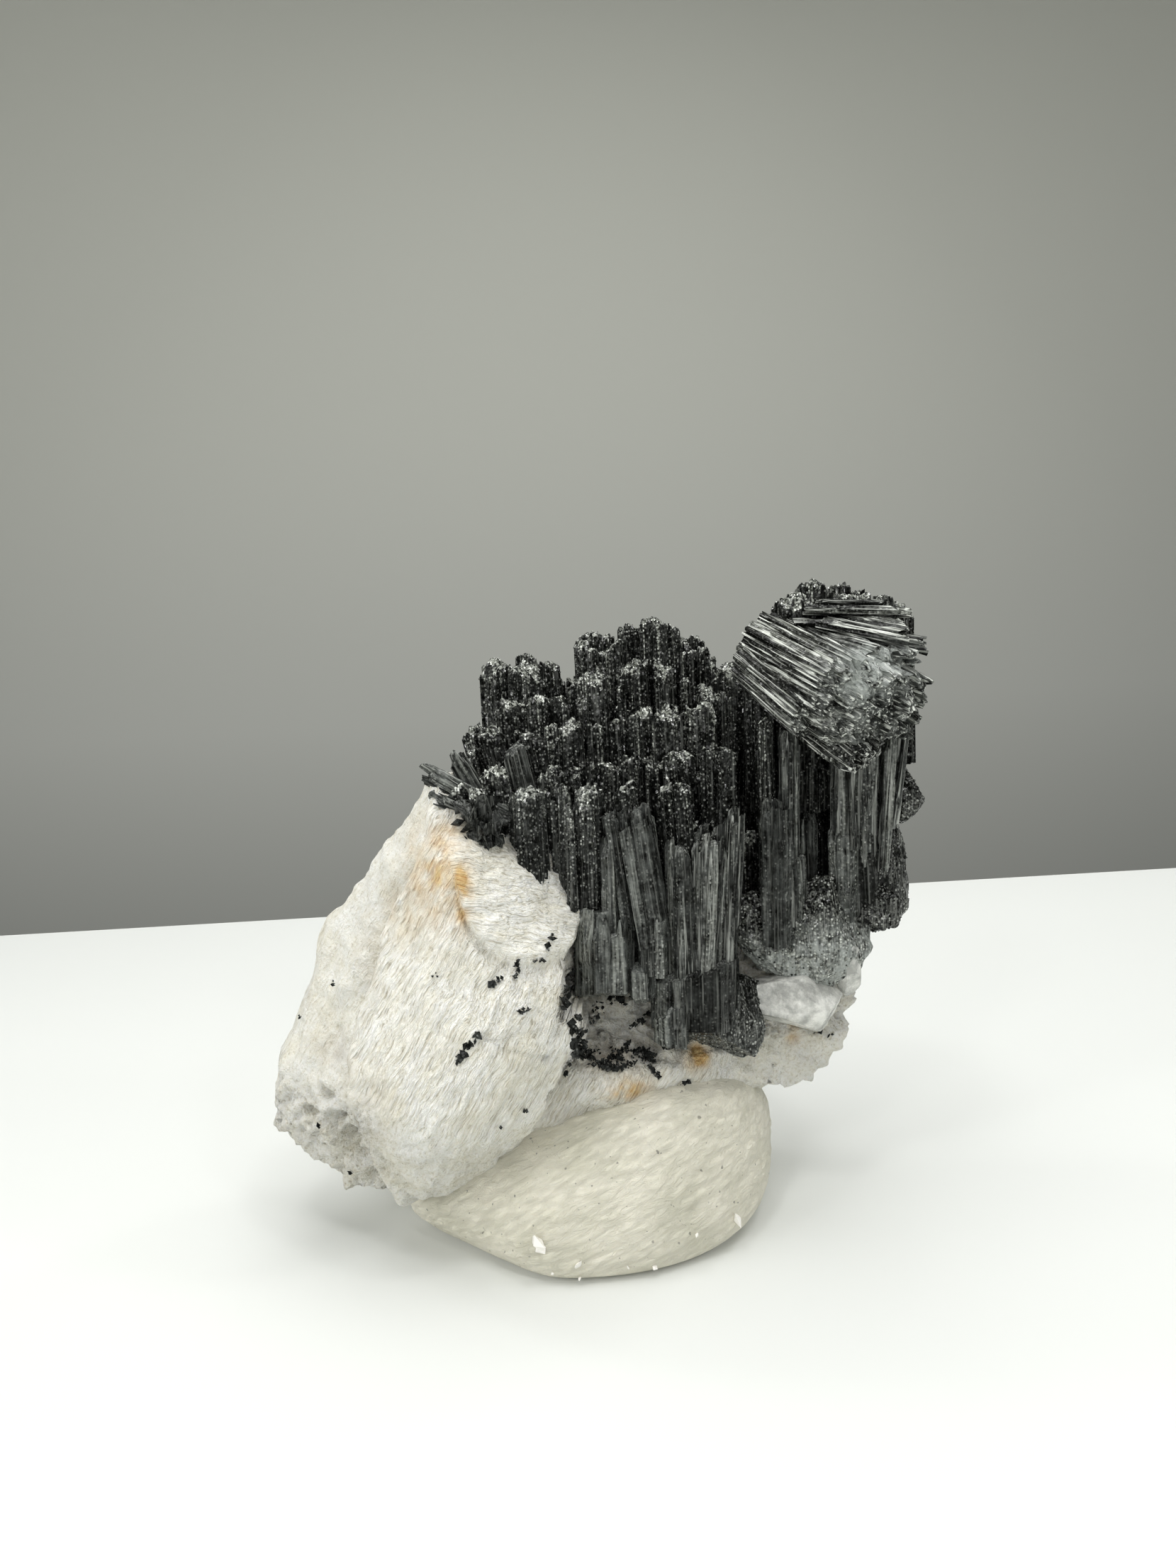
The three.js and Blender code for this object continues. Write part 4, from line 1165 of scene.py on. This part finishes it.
def bent_plate(spots):
    """A function of (x, z) that passes close by every spot: a plane plus, for each spot, a weight
    times r squared times log r, with r the distance to it. The weights solve the spots' values."""
    data = np.array(spots, float)
    where, value = data[:, :2], data[:, 2]

    def bend(a, b):
        far = np.linalg.norm(a[:, None] - b[None], axis=-1)
        return far**2 * np.log(far + 1e-9)

    flat = np.column_stack([np.ones(len(where)), where])
    system = np.block([
        [bend(where, where) + PLATE_GIVE * np.eye(len(where)), flat],
        [flat.T, np.zeros((3, 3))]])
    weights = np.linalg.solve(system, np.concatenate([value, np.zeros(3)]))

    def height(x, z):
        at = np.stack([x.ravel(), z.ravel()], axis=-1)
        plane = np.column_stack([np.ones(len(at)), at])
        return (bend(at, where) @ weights[:-3] + plane @ weights[-3:]).reshape(x.shape)

    return height


def closed_curve(points, count):
    """count points along a closed smooth curve through the given ones, evenly spaced: each span
    is the cubic whose slopes are half the step from its neighbour before to the one after."""
    p = np.array(points, float)
    before, after, second = np.roll(p, 1, 0), np.roll(p, -1, 0), np.roll(p, -2, 0)
    t = np.linspace(0, 1, STEPS_PER_SPAN, endpoint=False)[None, :, None]
    slope_in, slope_out = (after - before)[:, None] / 2, (second - p)[:, None] / 2
    curve = (
        (2 * t**3 - 3 * t**2 + 1) * p[:, None] + (t**3 - 2 * t**2 + t) * slope_in
        + (3 * t**2 - 2 * t**3) * after[:, None] + (t**3 - t**2) * slope_out
    ).reshape(-1, p.shape[1])
    closed = np.concatenate([curve, curve[:1]])
    run = np.concatenate([[0], np.cumsum(np.linalg.norm(np.diff(closed, axis=0), axis=1))])
    wanted = np.linspace(0, run[-1], count, endpoint=False)
    return np.stack([np.interp(wanted, run, closed[:, k]) for k in range(p.shape[1])], axis=-1)


print("the rim goes through", len(RIM), "points")

# %% The stone's surface
AROUND, FRONT_ROWS, BACK_ROWS = 620, 96, 44
# The cliff at the front block's right side, x for each height z.
CLIFF_HEIGHTS = [4.0, 5.3, 6.5, 7.3, 8.5, 9.5, 10.4, 11.2, 12.4, 13.1, 14.3, 15.6, 17.0]
CLIFF_PLACES = [-4.6, -3.6, -2.9, -2.4, -1.7, -0.95, -0.9, -1.7, -1.3, -1.0, -0.7, -0.2, 0.8]


def feldspar_surface():
    """The pillow's points, which of them are in front, and how far each is past the cliff. x and z
    run straight from the middle to the rim. Depth goes from the rim's to the plate's by the quarter
    of a curve whose power-3 sums are 1, so the rim is round."""
    rim = closed_curve(RIM, AROUND)
    front_out = np.linspace(0, 1, FRONT_ROWS) ** 0.8
    back_out = 1 - np.linspace(0, 1, BACK_ROWS)[1:] ** 1.2
    out = np.concatenate([front_out, back_out])[:, None]
    x = PILLOW_MIDDLE[0] + (rim[:, 0] - PILLOW_MIDDLE[0]) * out
    z = PILLOW_MIDDLE[1] + (rim[:, 1] - PILLOW_MIDDLE[1]) * out
    front = np.broadcast_to((np.arange(len(out)) < FRONT_ROWS)[:, None], x.shape)
    cliff = np.interp(z, CLIFF_HEIGHTS, CLIFF_PLACES)
    wobble = 0.25 * fractal(np.stack([x, 0 * x, z], -1), 1.1, 4, 11)
    past = smooth_step(-0.1, 0.3, x - cliff + wobble)
    block, ledge, back = (bent_plate(spots)(x, z) for spots in (FRONT_SPOTS, LEDGE_SPOTS, BACK_SPOTS))
    inner = np.where(front, block * (1 - past) + ledge * past, back)
    y = rim[:, 2] + (inner - rim[:, 2]) * (1 - out**3) ** (1 / 3)
    return np.stack([x, y, z], -1), front, past


print("the stone has", AROUND * (FRONT_ROWS + BACK_ROWS), "points")

# %% [markdown]
# The front is parted into regions that broke in their own ways. A fold parts the fibrous face from
# the part turned away to the left, a facet lies at the upper right, the ground low on the left and
# on the wing is broken, and a hollow lies under the cluster. Each region is a number from 0 to 1 at
# every point, so reliefs and finishes blend where regions meet.

# %% The stone's relief
# The fold's x at each height z, and the facet's lower edge, z at each x.
FOLD_HEIGHTS = [3, 5.4, 7.8, 9.4, 11, 12.2, 13.9, 15.3, 16.8, 18.2]
FOLD_PLACES = [-9.2, -9.8, -10.5, -10.4, -9.9, -9.4, -9.2, -8.6, -7.5, -6.7]
EDGE_PLACES = [-6.2, -5.2, -4.3, -3.3, -2.0, -0.5]
EDGE_HEIGHTS = [18.4, 15.2, 14.1, 13.4, 13.3, 13.6]
# Pockets in the broken ground: middle (x, z), half width and depth.
POCKETS = [
    ((-12.2, 7.7), 0.4, 0.6), ((-11.6, 6.7), 0.4, 0.8), ((-11.1, 5.7), 0.45, 0.9),
    ((-10.7, 4.8), 0.4, 0.7), ((-12.9, 6.5), 0.4, 0.6), ((-10.3, 3.9), 0.35, 0.5),
]


def fibre_ribs(spot, facet):
    """Ribs along the fibres: rough noise in a frame leant as the fibres are, thin across them and
    long along them, for the block and for the facet."""
    x, y, z = (spot[..., k] for k in range(3))
    ribs = 0.0
    for lean, share in ((BLOCK_LEAN, 1 - facet), (FACET_LEAN, facet)):
        across = x * np.cos(lean) - z * np.sin(lean) + 0.25 * noise(spot, 1.6, 28)
        along = x * np.sin(lean) + z * np.cos(lean)
        ribs = ribs + share * fractal(np.stack([across / 0.3, along / 2.0, y / 1.2], -1), 1.0, 3, 27)
    return ribs


def feldspar_relief(spot, front, past):
    """Heights to add to the stone along its own normals, and the fields of its finish. Each is a
    sum of the regions' numbers times their relief: ribs where it is silky, chips and knobs where
    it is broken, and a step, valley and crest along the fold."""
    x, _, z = (spot[..., k] for k in range(3))
    fold_x = np.interp(z, FOLD_HEIGHTS, FOLD_PLACES) + 0.12 * noise(spot, 1.1, 36)
    edge_z = np.interp(x, EDGE_PLACES, EDGE_HEIGHTS)
    left = smooth_step(0.25, -0.5, x - fold_x + 0.3 * noise(spot, 1.3, 23)) * front
    facet = smooth_step(-0.3, 0.3, z - edge_z) * smooth_step(-6.1, -5.4, x + 0.22 * (18 - z)) * front
    broken = smooth_step(8.6, 6.4, z) * smooth_step(-8.6, -10.4, x) * front
    wing = smooth_step(4.5, 7.0, x) * front
    sugary = smooth_step(7.5, 5.5, z + 0.35 * x + 2.0) * (1 - left) * front
    hollow = past * smooth_step(7.4, 8.4, z) * smooth_step(13.0, 12.0, z) * front
    silky = 1 - 0.7 * broken - 0.5 * left - 0.7 * wing - 0.7 * sugary - 0.9 * hollow
    silky = np.clip(silky, 0, 1)
    # Slow lumps, ribs, and chips with knobs on them.
    near, second, number = grains(spot + 0.3 * noise(spot, 0.5, 24)[..., None], 1.1, 25)
    chips = (number - 0.5) * 0.42 + 0.12 * smooth_step(0.0, 0.4, second - near)
    chips = 0.5 * chips + 1.2 * np.abs(fractal(spot, 1.0, 5, 26)) - 0.2
    height = 0.42 * fractal(spot, 3.6, 3, 21)
    height = height + 0.16 * fibre_ribs(spot, facet) * (0.35 + 0.65 * silky)
    height = height + chips * (0.05 + 0.9 * broken + 0.5 * wing + 0.3 * sugary)
    # The fold: a step down, a valley at its foot and a crest along its top.
    below_tip = smooth_step(17.5, 15.5, z) * front
    height = height - 0.35 * smooth_step(0.0, 0.35, fold_x - x) * below_tip
    height = height - 0.35 * hill(fold_x - 0.4 - x, 0.4) * below_tip
    height = height + 0.18 * hill(x - fold_x - 0.25, 0.4) * front
    height = height + 0.35 * left * fractal(spot, 1.3, 3, 33)
    # The facet stands out, with a groove under its edge.
    sill = hill(z - edge_z + 0.35, 0.3) * smooth_step(-6.0, -4.8, x) * front
    height = height - 0.3 * sill + 0.22 * facet
    # The hollow's crags, the pockets, and roughness all over.
    height = height + hollow * (1.8 * np.abs(fractal(spot, 0.9, 5, 38)) - 0.4)
    for (at_x, at_z), wide, deep in POCKETS:
        apart = np.hypot(x - at_x, z - at_z) / wide + 0.5 * noise(spot, 0.5, 39)
        height = height - deep * smooth_step(1.3, 0.2, apart) * front
    height = height + 0.09 * fractal(spot, 0.5, 4, 29) + 0.3 * wing * fractal(spot, 0.9, 4, 35)
    # A narrow band just left of the fold's edge, painted darker: painted shade along the fold.
    fold = 0.3 * hill(fold_x - 0.15 - x, 0.3) * smooth_step(4.5, 6.5, z) * below_tip
    return height, {"turned": facet, "silky": silky, "fold": fold}


print("the broken ground has", len(POCKETS), "pockets")

# %% [markdown]
# Iron-rich water left ochre where it ran in. Brown patches darken a few places, and a narrow band
# along the fold is painted shade. Each patch is soft-edged and broken up by noise, because the
# stain follows the pores.

# %% Stains
# Ochre and brown patches: middle (x, z), half widths and strength.
OCHRE_PATCHES = [
    ((-6.5, 16.5), (1.2, 1.6), 0.7), ((-5.35, 16.3), (0.4, 1.3), 1.1), ((-6.0, 17.7), (0.8, 1.0), 0.8),
    ((1.0, 6.8), (0.9, 0.45), 1.3), ((8.5, 8.1), (0.35, 0.7), 1.0), ((4.1, 7.7), (0.5, 0.45), 1.4),
    ((-8.0, 15.0), (1.2, 1.0), 0.25),
]
BROWN_PATCHES = [
    ((-9.9, 13.0), (0.6, 1.4), 0.25), ((-11.4, 9.0), (1.2, 0.8), 0.3), ((-9.6, 8.0), (0.8, 1.4), 0.2),
    ((-13.4, 10.6), (0.6, 0.6), 0.25), ((-1.4, 5.8), (1.2, 0.4), 0.3),
    ((0.5, 8.0), (1.7, 0.4), 0.5),
]


def stains(spot):
    """How ochre and how brown each point is: for each patch exp of minus the squared distance in
    half widths, broken up by noise, front side only."""
    front = smooth_step(4.0, 1.0, spot[:, 1])
    patchy = 0.62 + 0.9 * fractal(spot, 0.45, 5, 31)
    sums = []
    for patches in (OCHRE_PATCHES, BROWN_PATCHES):
        total = np.zeros(len(spot))
        for (x, z), (wide, high), strength in patches:
            away = ((spot[:, 0] - x) / wide) ** 2 + ((spot[:, 2] - z) / high) ** 2
            total = np.maximum(total, strength * np.exp(-away))
        sums.append(np.clip(total * patchy * front * 1.4, 0, 1))
    return sums


print(len(OCHRE_PATCHES), "ochre patches and", len(BROWN_PATCHES), "brown ones")

# %% The stone as a piece


def grid_normals(points):
    """Normals of a surface that wraps in its second parameter: the cross product of the steps along
    both parameters."""
    down = np.gradient(points, axis=0)
    across = (np.roll(points, -1, 1) - np.roll(points, 1, 1)) / 2
    normal = np.cross(across, down)
    return normal / np.maximum(np.linalg.norm(normal, axis=-1, keepdims=True), 1e-12)


def make_feldspar():
    """The pillow, moved by its relief along normals that are turned to face outward as a whole."""
    spot, front, past = feldspar_surface()
    height, fields = feldspar_relief(spot, front, past)
    normal = grid_normals(spot)
    facing = np.sign(np.sum(normal * (spot - spot.mean((0, 1))), -1).sum())
    spot = spot + normal * facing * height[..., None]
    points = np.concatenate([spot[1:-1].reshape(-1, 3), [spot[0].mean(0), spot[-1].mean(0)]])
    fields = {
        name: np.concatenate([value[1:-1].ravel(), [value[0].mean(), value[-1].mean()]])
        for name, value in fields.items()}
    fields["stain"], fields["brown_and_painted_shade"] = stains(points)
    # The fold band joins the brown patches: painted shade along the fold.
    fields["brown_and_painted_shade"] = fields["brown_and_painted_shade"] + fields.pop("fold") * (0.6 + 0.8 * noise(points, 0.6, 37))
    faces = closed_rings(len(spot) - 2, AROUND)
    if facing < 0:
        faces = [face[:, ::-1] for face in faces]
    stands_for(
        add_piece("feldspar_stone", points, faces, FELDSPAR, fields=fields),
        "feldspar_matrix")
    return points


STONE = make_feldspar()

# %% [markdown]
# ## Schorl crumbs in the stone
# Small black crystals sit in the feldspar: a few singly, one long vein, and a heap of them in the
# hollow under the cluster. Dark paint would lie flat, and these stand out and throw shadows, so each
# is the eight-sided grain from before, set at the surface. The surface's depth at a place is that
# of its foremost point nearby, so that none is lost in a groove. On a slope a grain may therefore
# stand up to 0.2 mm clear of the stone.

# %% Crumbs
# Each patch: middle x and z, half length and half width, lean of the long side, grains, grain size.
INCLUSIONS = [
    (-5.3, 10.6, 0.75, 0.12, 50, 26, 0.16), (-4.1, 12.9, 0.3, 0.08, 20, 7, 0.12),
    (-3.2, 13.3, 0.35, 0.10, 70, 9, 0.12), (-2.4, 13.3, 0.25, 0.08, -20, 6, 0.11),
    (-3.1, 11.8, 0.3, 0.08, 15, 7, 0.11), (-6.6, 13.1, 0.2, 0.08, 0, 4, 0.09),
    (-11.5, 11.7, 0.15, 0.08, 0, 3, 0.11), (-13.4, 9.9, 0.15, 0.08, 0, 3, 0.10),
    (-12.2, 6.3, 0.15, 0.08, 0, 3, 0.10), (-11.1, 4.0, 0.12, 0.08, 0, 3, 0.10),
    (-3.3, 7.5, 0.12, 0.08, 0, 3, 0.10), (-1.7, 7.8, 0.15, 0.1, 0, 4, 0.12),
    (-4.3, 7.0, 0.12, 0.06, 0, 3, 0.09), (-1.9, 13.9, 0.3, 0.1, 60, 6, 0.11),
    (-1.3, 11.8, 0.5, 0.2, 80, 18, 0.15), (-1.1, 10.6, 0.4, 0.25, 80, 16, 0.16),
    (9.6, 7.9, 0.2, 0.08, 10, 4, 0.10), (10.2, 7.6, 0.12, 0.08, 0, 3, 0.10),
    (2.15, 7.3, 0.35, 0.12, -45, 24, 0.1), (3.3, 6.5, 0.5, 0.13, 35, 40, 0.1),
    (0.35, 7.9, 0.7, 0.2, -10, 110, 0.1), (1.75, 7.9, 0.5, 0.14, -25, 60, 0.1),
    (-1.0, 8.3, 0.6, 0.22, -15, 110, 0.1), (0.95, 8.35, 0.25, 0.1, 30, 20, 0.09),
    (0.6, 8.0, 1.9, 0.3, -6, 90, 0.08), (1.7, 9.0, 0.55, 0.1, 20, 44, 0.09),
    (3.2, 8.4, 0.7, 0.2, 10, 70, 0.11), (-0.3, 9.6, 0.6, 0.3, 20, 24, 0.08),
    (0.6, 10.2, 1.0, 0.4, 0, 16, 0.12), (4.2, 9.0, 0.6, 0.2, 10, 24, 0.16),
    (-0.9, 9.9, 0.5, 0.3, 70, 26, 0.18), (1.6, 10.4, 1.4, 0.3, 0, 60, 0.2),
]


# Only points with less y than this are in front, and only those this near a place count there.
FRONT_HALF, NEARBY = 4.0, 0.2


def front_of(surface, x, z):
    """The least y among the surface's points near each (x, z), or the nearest point's if there is
    none. Forty places are done at a time, to save memory."""
    near = surface[surface[:, 1] < FRONT_HALF]
    found = []
    for part in np.array_split(np.arange(len(x)), max(len(x) // 40, 1)):
        far = np.hypot(near[None, :, 0] - x[part, None], near[None, :, 2] - z[part, None])
        depth = np.where(far < NEARBY, near[None, :, 1], np.inf).min(1)
        found.append(np.where(np.isfinite(depth), depth, near[far.argmin(1), 1]))
    return np.concatenate(found)


def scattered(patches, seed):
    """Places in each patch: even over its ellipse, by the square root of one hashed number as
    radius and another as angle, turned by the patch's lean. Also each place's grain size."""
    places = []
    for number, (x, z, long, short, lean, count, size) in enumerate(patches):
        cell = counted(count, number)
        reach, turn = np.sqrt(hashed(cell, seed)), 2 * np.pi * hashed(cell, seed + 1)
        a, b = long * reach * np.cos(turn), short * reach * np.sin(turn)
        c, s = np.cos(np.radians(lean)), np.sin(np.radians(lean))
        grain = size * (0.45 + 0.75 * hashed(cell, seed + 2))
        places.append(np.stack([x + a * c - b * s, z + a * s + b * c, grain], -1))
    return np.concatenate(places).T


def make_crumbs():
    """The grains at the scattered places, their middles 0.3 of their size behind the foremost point
    nearby."""
    x, z, size = scattered(INCLUSIONS, 61)
    spots = np.stack([x, front_of(STONE, x, z) + 0.3 * size, z], -1)
    corners, faces, shade = octahedra(spots, 1.1 * size, 0.6, 63)
    fields = schorl_part(
        corners, NO_QUADS, faces, pitted=0.5, haze=0.1, tone=0.3 * shade, sheen=0.0)[-1]
    piece = add_piece("schorl_crumbs", corners, [faces], SCHORL, smooth=False, fields=fields)
    stands_for(piece, "feldspar_matrix")


make_crumbs()

# %% [markdown]
# ## The quartz grain
# A clear, partly milky grain wedged under the cluster's right foot, with a smaller splinter grown
# onto it. Quartz breaks in curved chips with no grain, so both are broken lumps like the schorl's,
# only less rough.

# %% Quartz


def make_quartz():
    """Two chunks in one mesh: the second's faces count on from the first's points."""
    parts = [chunk((8.6, 0.7, 9.8), (2.2, 1.5, 1.5), 100, 41, -0.2, 0.05),
             chunk((10.8, 0.6, 11.5), (0.75, 0.9, 1.7), 60, 44, 0.1, 0.03)]
    points = np.concatenate([part[0] for part in parts])
    starts = (0, len(parts[0][0]))
    faces = [face + start for part, start in zip(parts, starts) for face in part[1]]
    piece = add_piece("quartz_clear_grain", points, faces, QUARTZ, smooth=False)
    stands_for(piece, "quartz_grain")


make_quartz()

# %% [markdown]
# ## The putty
# A lump rolled between the fingers, set down and pressed by the stone. A squashed ball would bulge
# evenly, but this lump leans to the right as it rises, because the stone's heavy left side pushed
# it there. So it is a stack of rounded ovals, each with its own left, right, front and back.

# %% Putty
# Sections of the lump, from the sole up: height, left, right, front, back.
PUTTY_SECTIONS = [
    (0.0, -7.8, 5.9, -4.2, 7.3), (0.25, -8.5, 6.4, -4.7, 7.7), (0.9, -9.3, 6.9, -5.0, 8.0),
    (1.9, -9.4, 7.3, -5.0, 8.1), (3.2, -8.6, 7.4, -4.6, 7.9), (4.6, -6.8, 7.3, -3.9, 7.4),
    (5.7, -3.8, 6.9, -2.9, 6.6), (6.4, 0.0, 6.3, -1.7, 5.4), (6.8, 2.6, 5.2, -0.2, 3.6),
]
PUTTY_ROWS, PUTTY_COLUMNS = 130, 360
PUTTY_MIDDLE = np.array([-1.1, 1.7, 0.0])
# How many rows of the stack each row is averaged with.
BLUR = 23


def make_putty():
    """Ovals between the sections' left and right, front and back, with x and y as powers of the
    angle's cosine and sine. The sections are blurred along the stack, and creases, which are noise
    stretched along the rolling direction, push the wall in and out above the sole."""
    given = np.array(PUTTY_SECTIONS)
    run = np.linspace(0, len(given) - 1, PUTTY_ROWS)
    sections = np.stack([np.interp(run, np.arange(len(given)), given[:, k]) for k in range(5)], -1)
    kernel = np.hanning(BLUR)
    kernel = kernel / kernel.sum()
    half = BLUR // 2
    padded = np.pad(sections, ((half, half), (0, 0)), mode="edge")
    soft = np.stack([np.convolve(padded[:, k], kernel, "valid") for k in range(5)], -1)
    # The blur lifts the lowest rows, so their heights are spread again from the sole up.
    soft[:half + 1, 0] = np.linspace(0.0, soft[half, 0], half + 1)
    turn = 2 * np.pi * np.arange(PUTTY_COLUMNS)[None, :] / PUTTY_COLUMNS
    # The oval is rounder at the front left, where the finger pressed it.
    pressed = np.clip(-np.cos(turn), 0, 1) * np.clip(-np.sin(turn), 0, 1) * 2

    def bend(value):
        return np.sign(value) * np.abs(value) ** (2 / (2.2 - 0.75 * pressed))

    height, left, right, front, back = (soft[:, k, None] for k in range(5))
    x = (left + right) / 2 + (right - left) / 2 * bend(np.cos(turn))
    y = (front + back) / 2 + (back - front) / 2 * bend(np.sin(turn))
    z = height + 0 * turn
    points = np.stack([x, y, z], -1)
    bent = x * 0.45 + 0.5 * noise(points, 2.5, 52)
    crease = np.stack([(x * 0.9 + z * 0.45) / 3.0, y / 2.0, (z * 0.9 - bent) / 0.6], -1)
    push = 0.14 * fractal(points, 3.0, 2, 51) + 0.19 * fractal(crease, 1.0, 4, 53)
    outward = points - PUTTY_MIDDLE
    outward[..., 2] = 0
    outward = outward / np.linalg.norm(outward, axis=-1, keepdims=True)
    points = points + outward * (push * smooth_step(0.1, 1.0, z))[..., None]
    surface = np.concatenate([points.reshape(-1, 3), [points[0].mean(0), points[-1].mean(0)]])
    piece = add_piece("putty_lump", surface, closed_rings(PUTTY_ROWS, PUTTY_COLUMNS), PUTTY)
    stands_for(piece, "mounting_putty")
    return surface[:-2]


LUMP = make_putty()

# %% [markdown]
# Handling crushed a little feldspar, and its flakes and specks stick to the putty's oily front.

# %% Dust on the putty
# Each flake: x, z, size. The last few are specks.
FLAKES = [(-3.1, 2.0, 0.42), (-1.5, 1.1, 0.18), (5.2, 1.6, 0.34), (3.4, 1.6, 0.16), (0.5, 0.7, 0.1),
          (-3.0, 1.8, 0.2), (5.3, 1.4, 0.2), (-1.5, 0.35, 0.12), (-2.6, 0.6, 0.09), (1.6, 0.5, 0.1)]


def make_dust():
    """Flat eight-sided flakes whose middles are 0.1 of their size in front of the putty's foremost
    point nearby."""
    x, z, size = np.array(FLAKES).T
    spots = np.stack([x, front_of(LUMP, x, z) - 0.1 * size, z], -1)
    corners, faces, _ = octahedra(spots, 1.25 * size, 0.35, 71)
    piece = add_piece("feldspar_dust_flakes", corners, [faces], DUST, smooth=False)
    stands_for(piece, "mounting_putty")


make_dust()

# %% [markdown]
# ## Floor, backdrop, light and camera
# A plain pale floor, a grey backdrop whose colour is painted darker toward its foot as painted
# light, and soft light from large lamps show the stone without adding to it. The camera stands
# close, as a hand lens does, which gives the strong perspective.

# %% Floor and backdrop


def backdrop_finish():
    """Grey card whose colour is painted darker downward: painted light, as if a lamp lit it best at
    mid height.
    """
    made, add = new_material("backdrop_grey_painted_falloff")
    height = add("SeparateXYZ", add("TexCoord", output="Object"), output="Z")
    card = add("ValToRGB", add("MapRange", height, -40 * MM, 140 * MM), stops=[
        (0.0, "#acada7"), (0.22, "#bebfb8"), (0.55, "#c2c3ba"), (0.9, "#c4c5bb")])
    add("OutputMaterial", Surface=add("BsdfPrincipled", Base_Color=card, Roughness=0.9))
    return made


FLOOR_FAR, CARD_PLACE = 50, 190
for name, corners, finish in (
    ("floor_pale", [(-400, -300, 0), (400, -300, 0), (400, FLOOR_FAR, 0), (-400, FLOOR_FAR, 0)],
     plain_finish("floor_matt_white", "#dfe1dd", 0.55)),
    ("backdrop_grey", [(-600, CARD_PLACE, -300), (600, CARD_PLACE, -300),
                       (600, CARD_PLACE, 500), (-600, CARD_PLACE, 500)], backdrop_finish()),
):
    panel = add_piece(name, corners, [np.array([[0, 1, 2, 3]])], finish)

# %% Lamps
# Wide soft lamps in front, at the left, overhead and low down, and a ring of small ones that give
# the crystals glints. Each lamp: place, the point it faces, size in mm and watts.
LAMPS = {
    "front": ((0, -260, 60), (0, 0, 14), 200, 0.08),
    "left": ((-220, -60, 90), (0, 0, 12), 120, 0.13),
    "overhead": ((10, 10, 150), (0, 0, 12), 160, 0.205),
    "low": ((-150, -120, 20), (0, 0, 8), 100, 0.05),
}
RING = [(-130, -90, 110), (-60, -130, 130), (20, -150, 90), (90, -110, 130), (140, -30, 110),
        (120, 70, 120), (-120, 60, 120), (-30, -60, 170), (50, -40, 170)]
LAMPS.update({f"small_{number}": (place, (0, 0, 14), 20, 0.026) for number, place in enumerate(RING)})


def add_lamp(name, place, target, size, watts):
    """A square soft lamp at place, in drawing millimetres, that faces target."""
    light = bpy.data.lights.new(name, "AREA")
    light.shape, light.size, light.energy = "SQUARE", size * MM, watts
    lamp = bpy.data.objects.new(name, light)
    bpy.context.scene.collection.objects.link(lamp)
    lamp.location = to_frame(place)
    toward = Vector(to_frame(target) - to_frame(place))
    lamp.rotation_euler = toward.to_track_quat("-Z", "Y").to_euler()


for name, settings in LAMPS.items():
    add_lamp("lamp_" + name, *settings)
world = bpy.data.worlds.new("studio_air")
world.use_nodes = True
world.node_tree.nodes["Background"].inputs["Color"].default_value = linear("#dfe2e0")
world.node_tree.nodes["Background"].inputs["Strength"].default_value = 0.22
bpy.context.scene.world = world
bpy.context.scene.view_settings.view_transform = "Standard"
print(len(LAMPS), "lamps of", round(sum(settings[-1] for settings in LAMPS.values()), 2), "W in all")

# %% Camera
# The view looks 10.6 degrees down and leans 3.3 degrees to the side. Places are drawing millimetres.
EYE = (0.0, -46.6, 28.6)
PITCH, LEAN = np.radians(10.568), np.radians(3.3)
FOCAL_MM, SENSOR_MM = 26.04, 36


def add_camera():
    """A camera whose directions are a level one's, pitched down and then turned by the lean."""
    ahead = np.array([0, np.cos(PITCH), -np.sin(PITCH)])
    level_up = np.array([0, np.sin(PITCH), np.cos(PITCH)])
    level_right = np.array([1.0, 0, 0])
    turn = np.eye(4)
    turn[:3, 0] = np.cos(LEAN) * level_right - np.sin(LEAN) * level_up
    turn[:3, 1] = np.sin(LEAN) * level_right + np.cos(LEAN) * level_up
    turn[:3, 2] = -ahead
    turn[:3, 3] = to_frame(EYE)
    data = bpy.data.cameras.new("hand_lens")
    data.lens, data.sensor_width = FOCAL_MM, SENSOR_MM
    data.clip_start, data.clip_end = 0.001, 10
    camera = bpy.data.objects.new("hand_lens", data)
    bpy.context.scene.collection.objects.link(camera)
    camera.matrix_world = Matrix(turn.tolist())
    bpy.context.scene.camera = camera


add_camera()
print("the camera stands", -EYE[1], "mm in front of the drawing's origin")
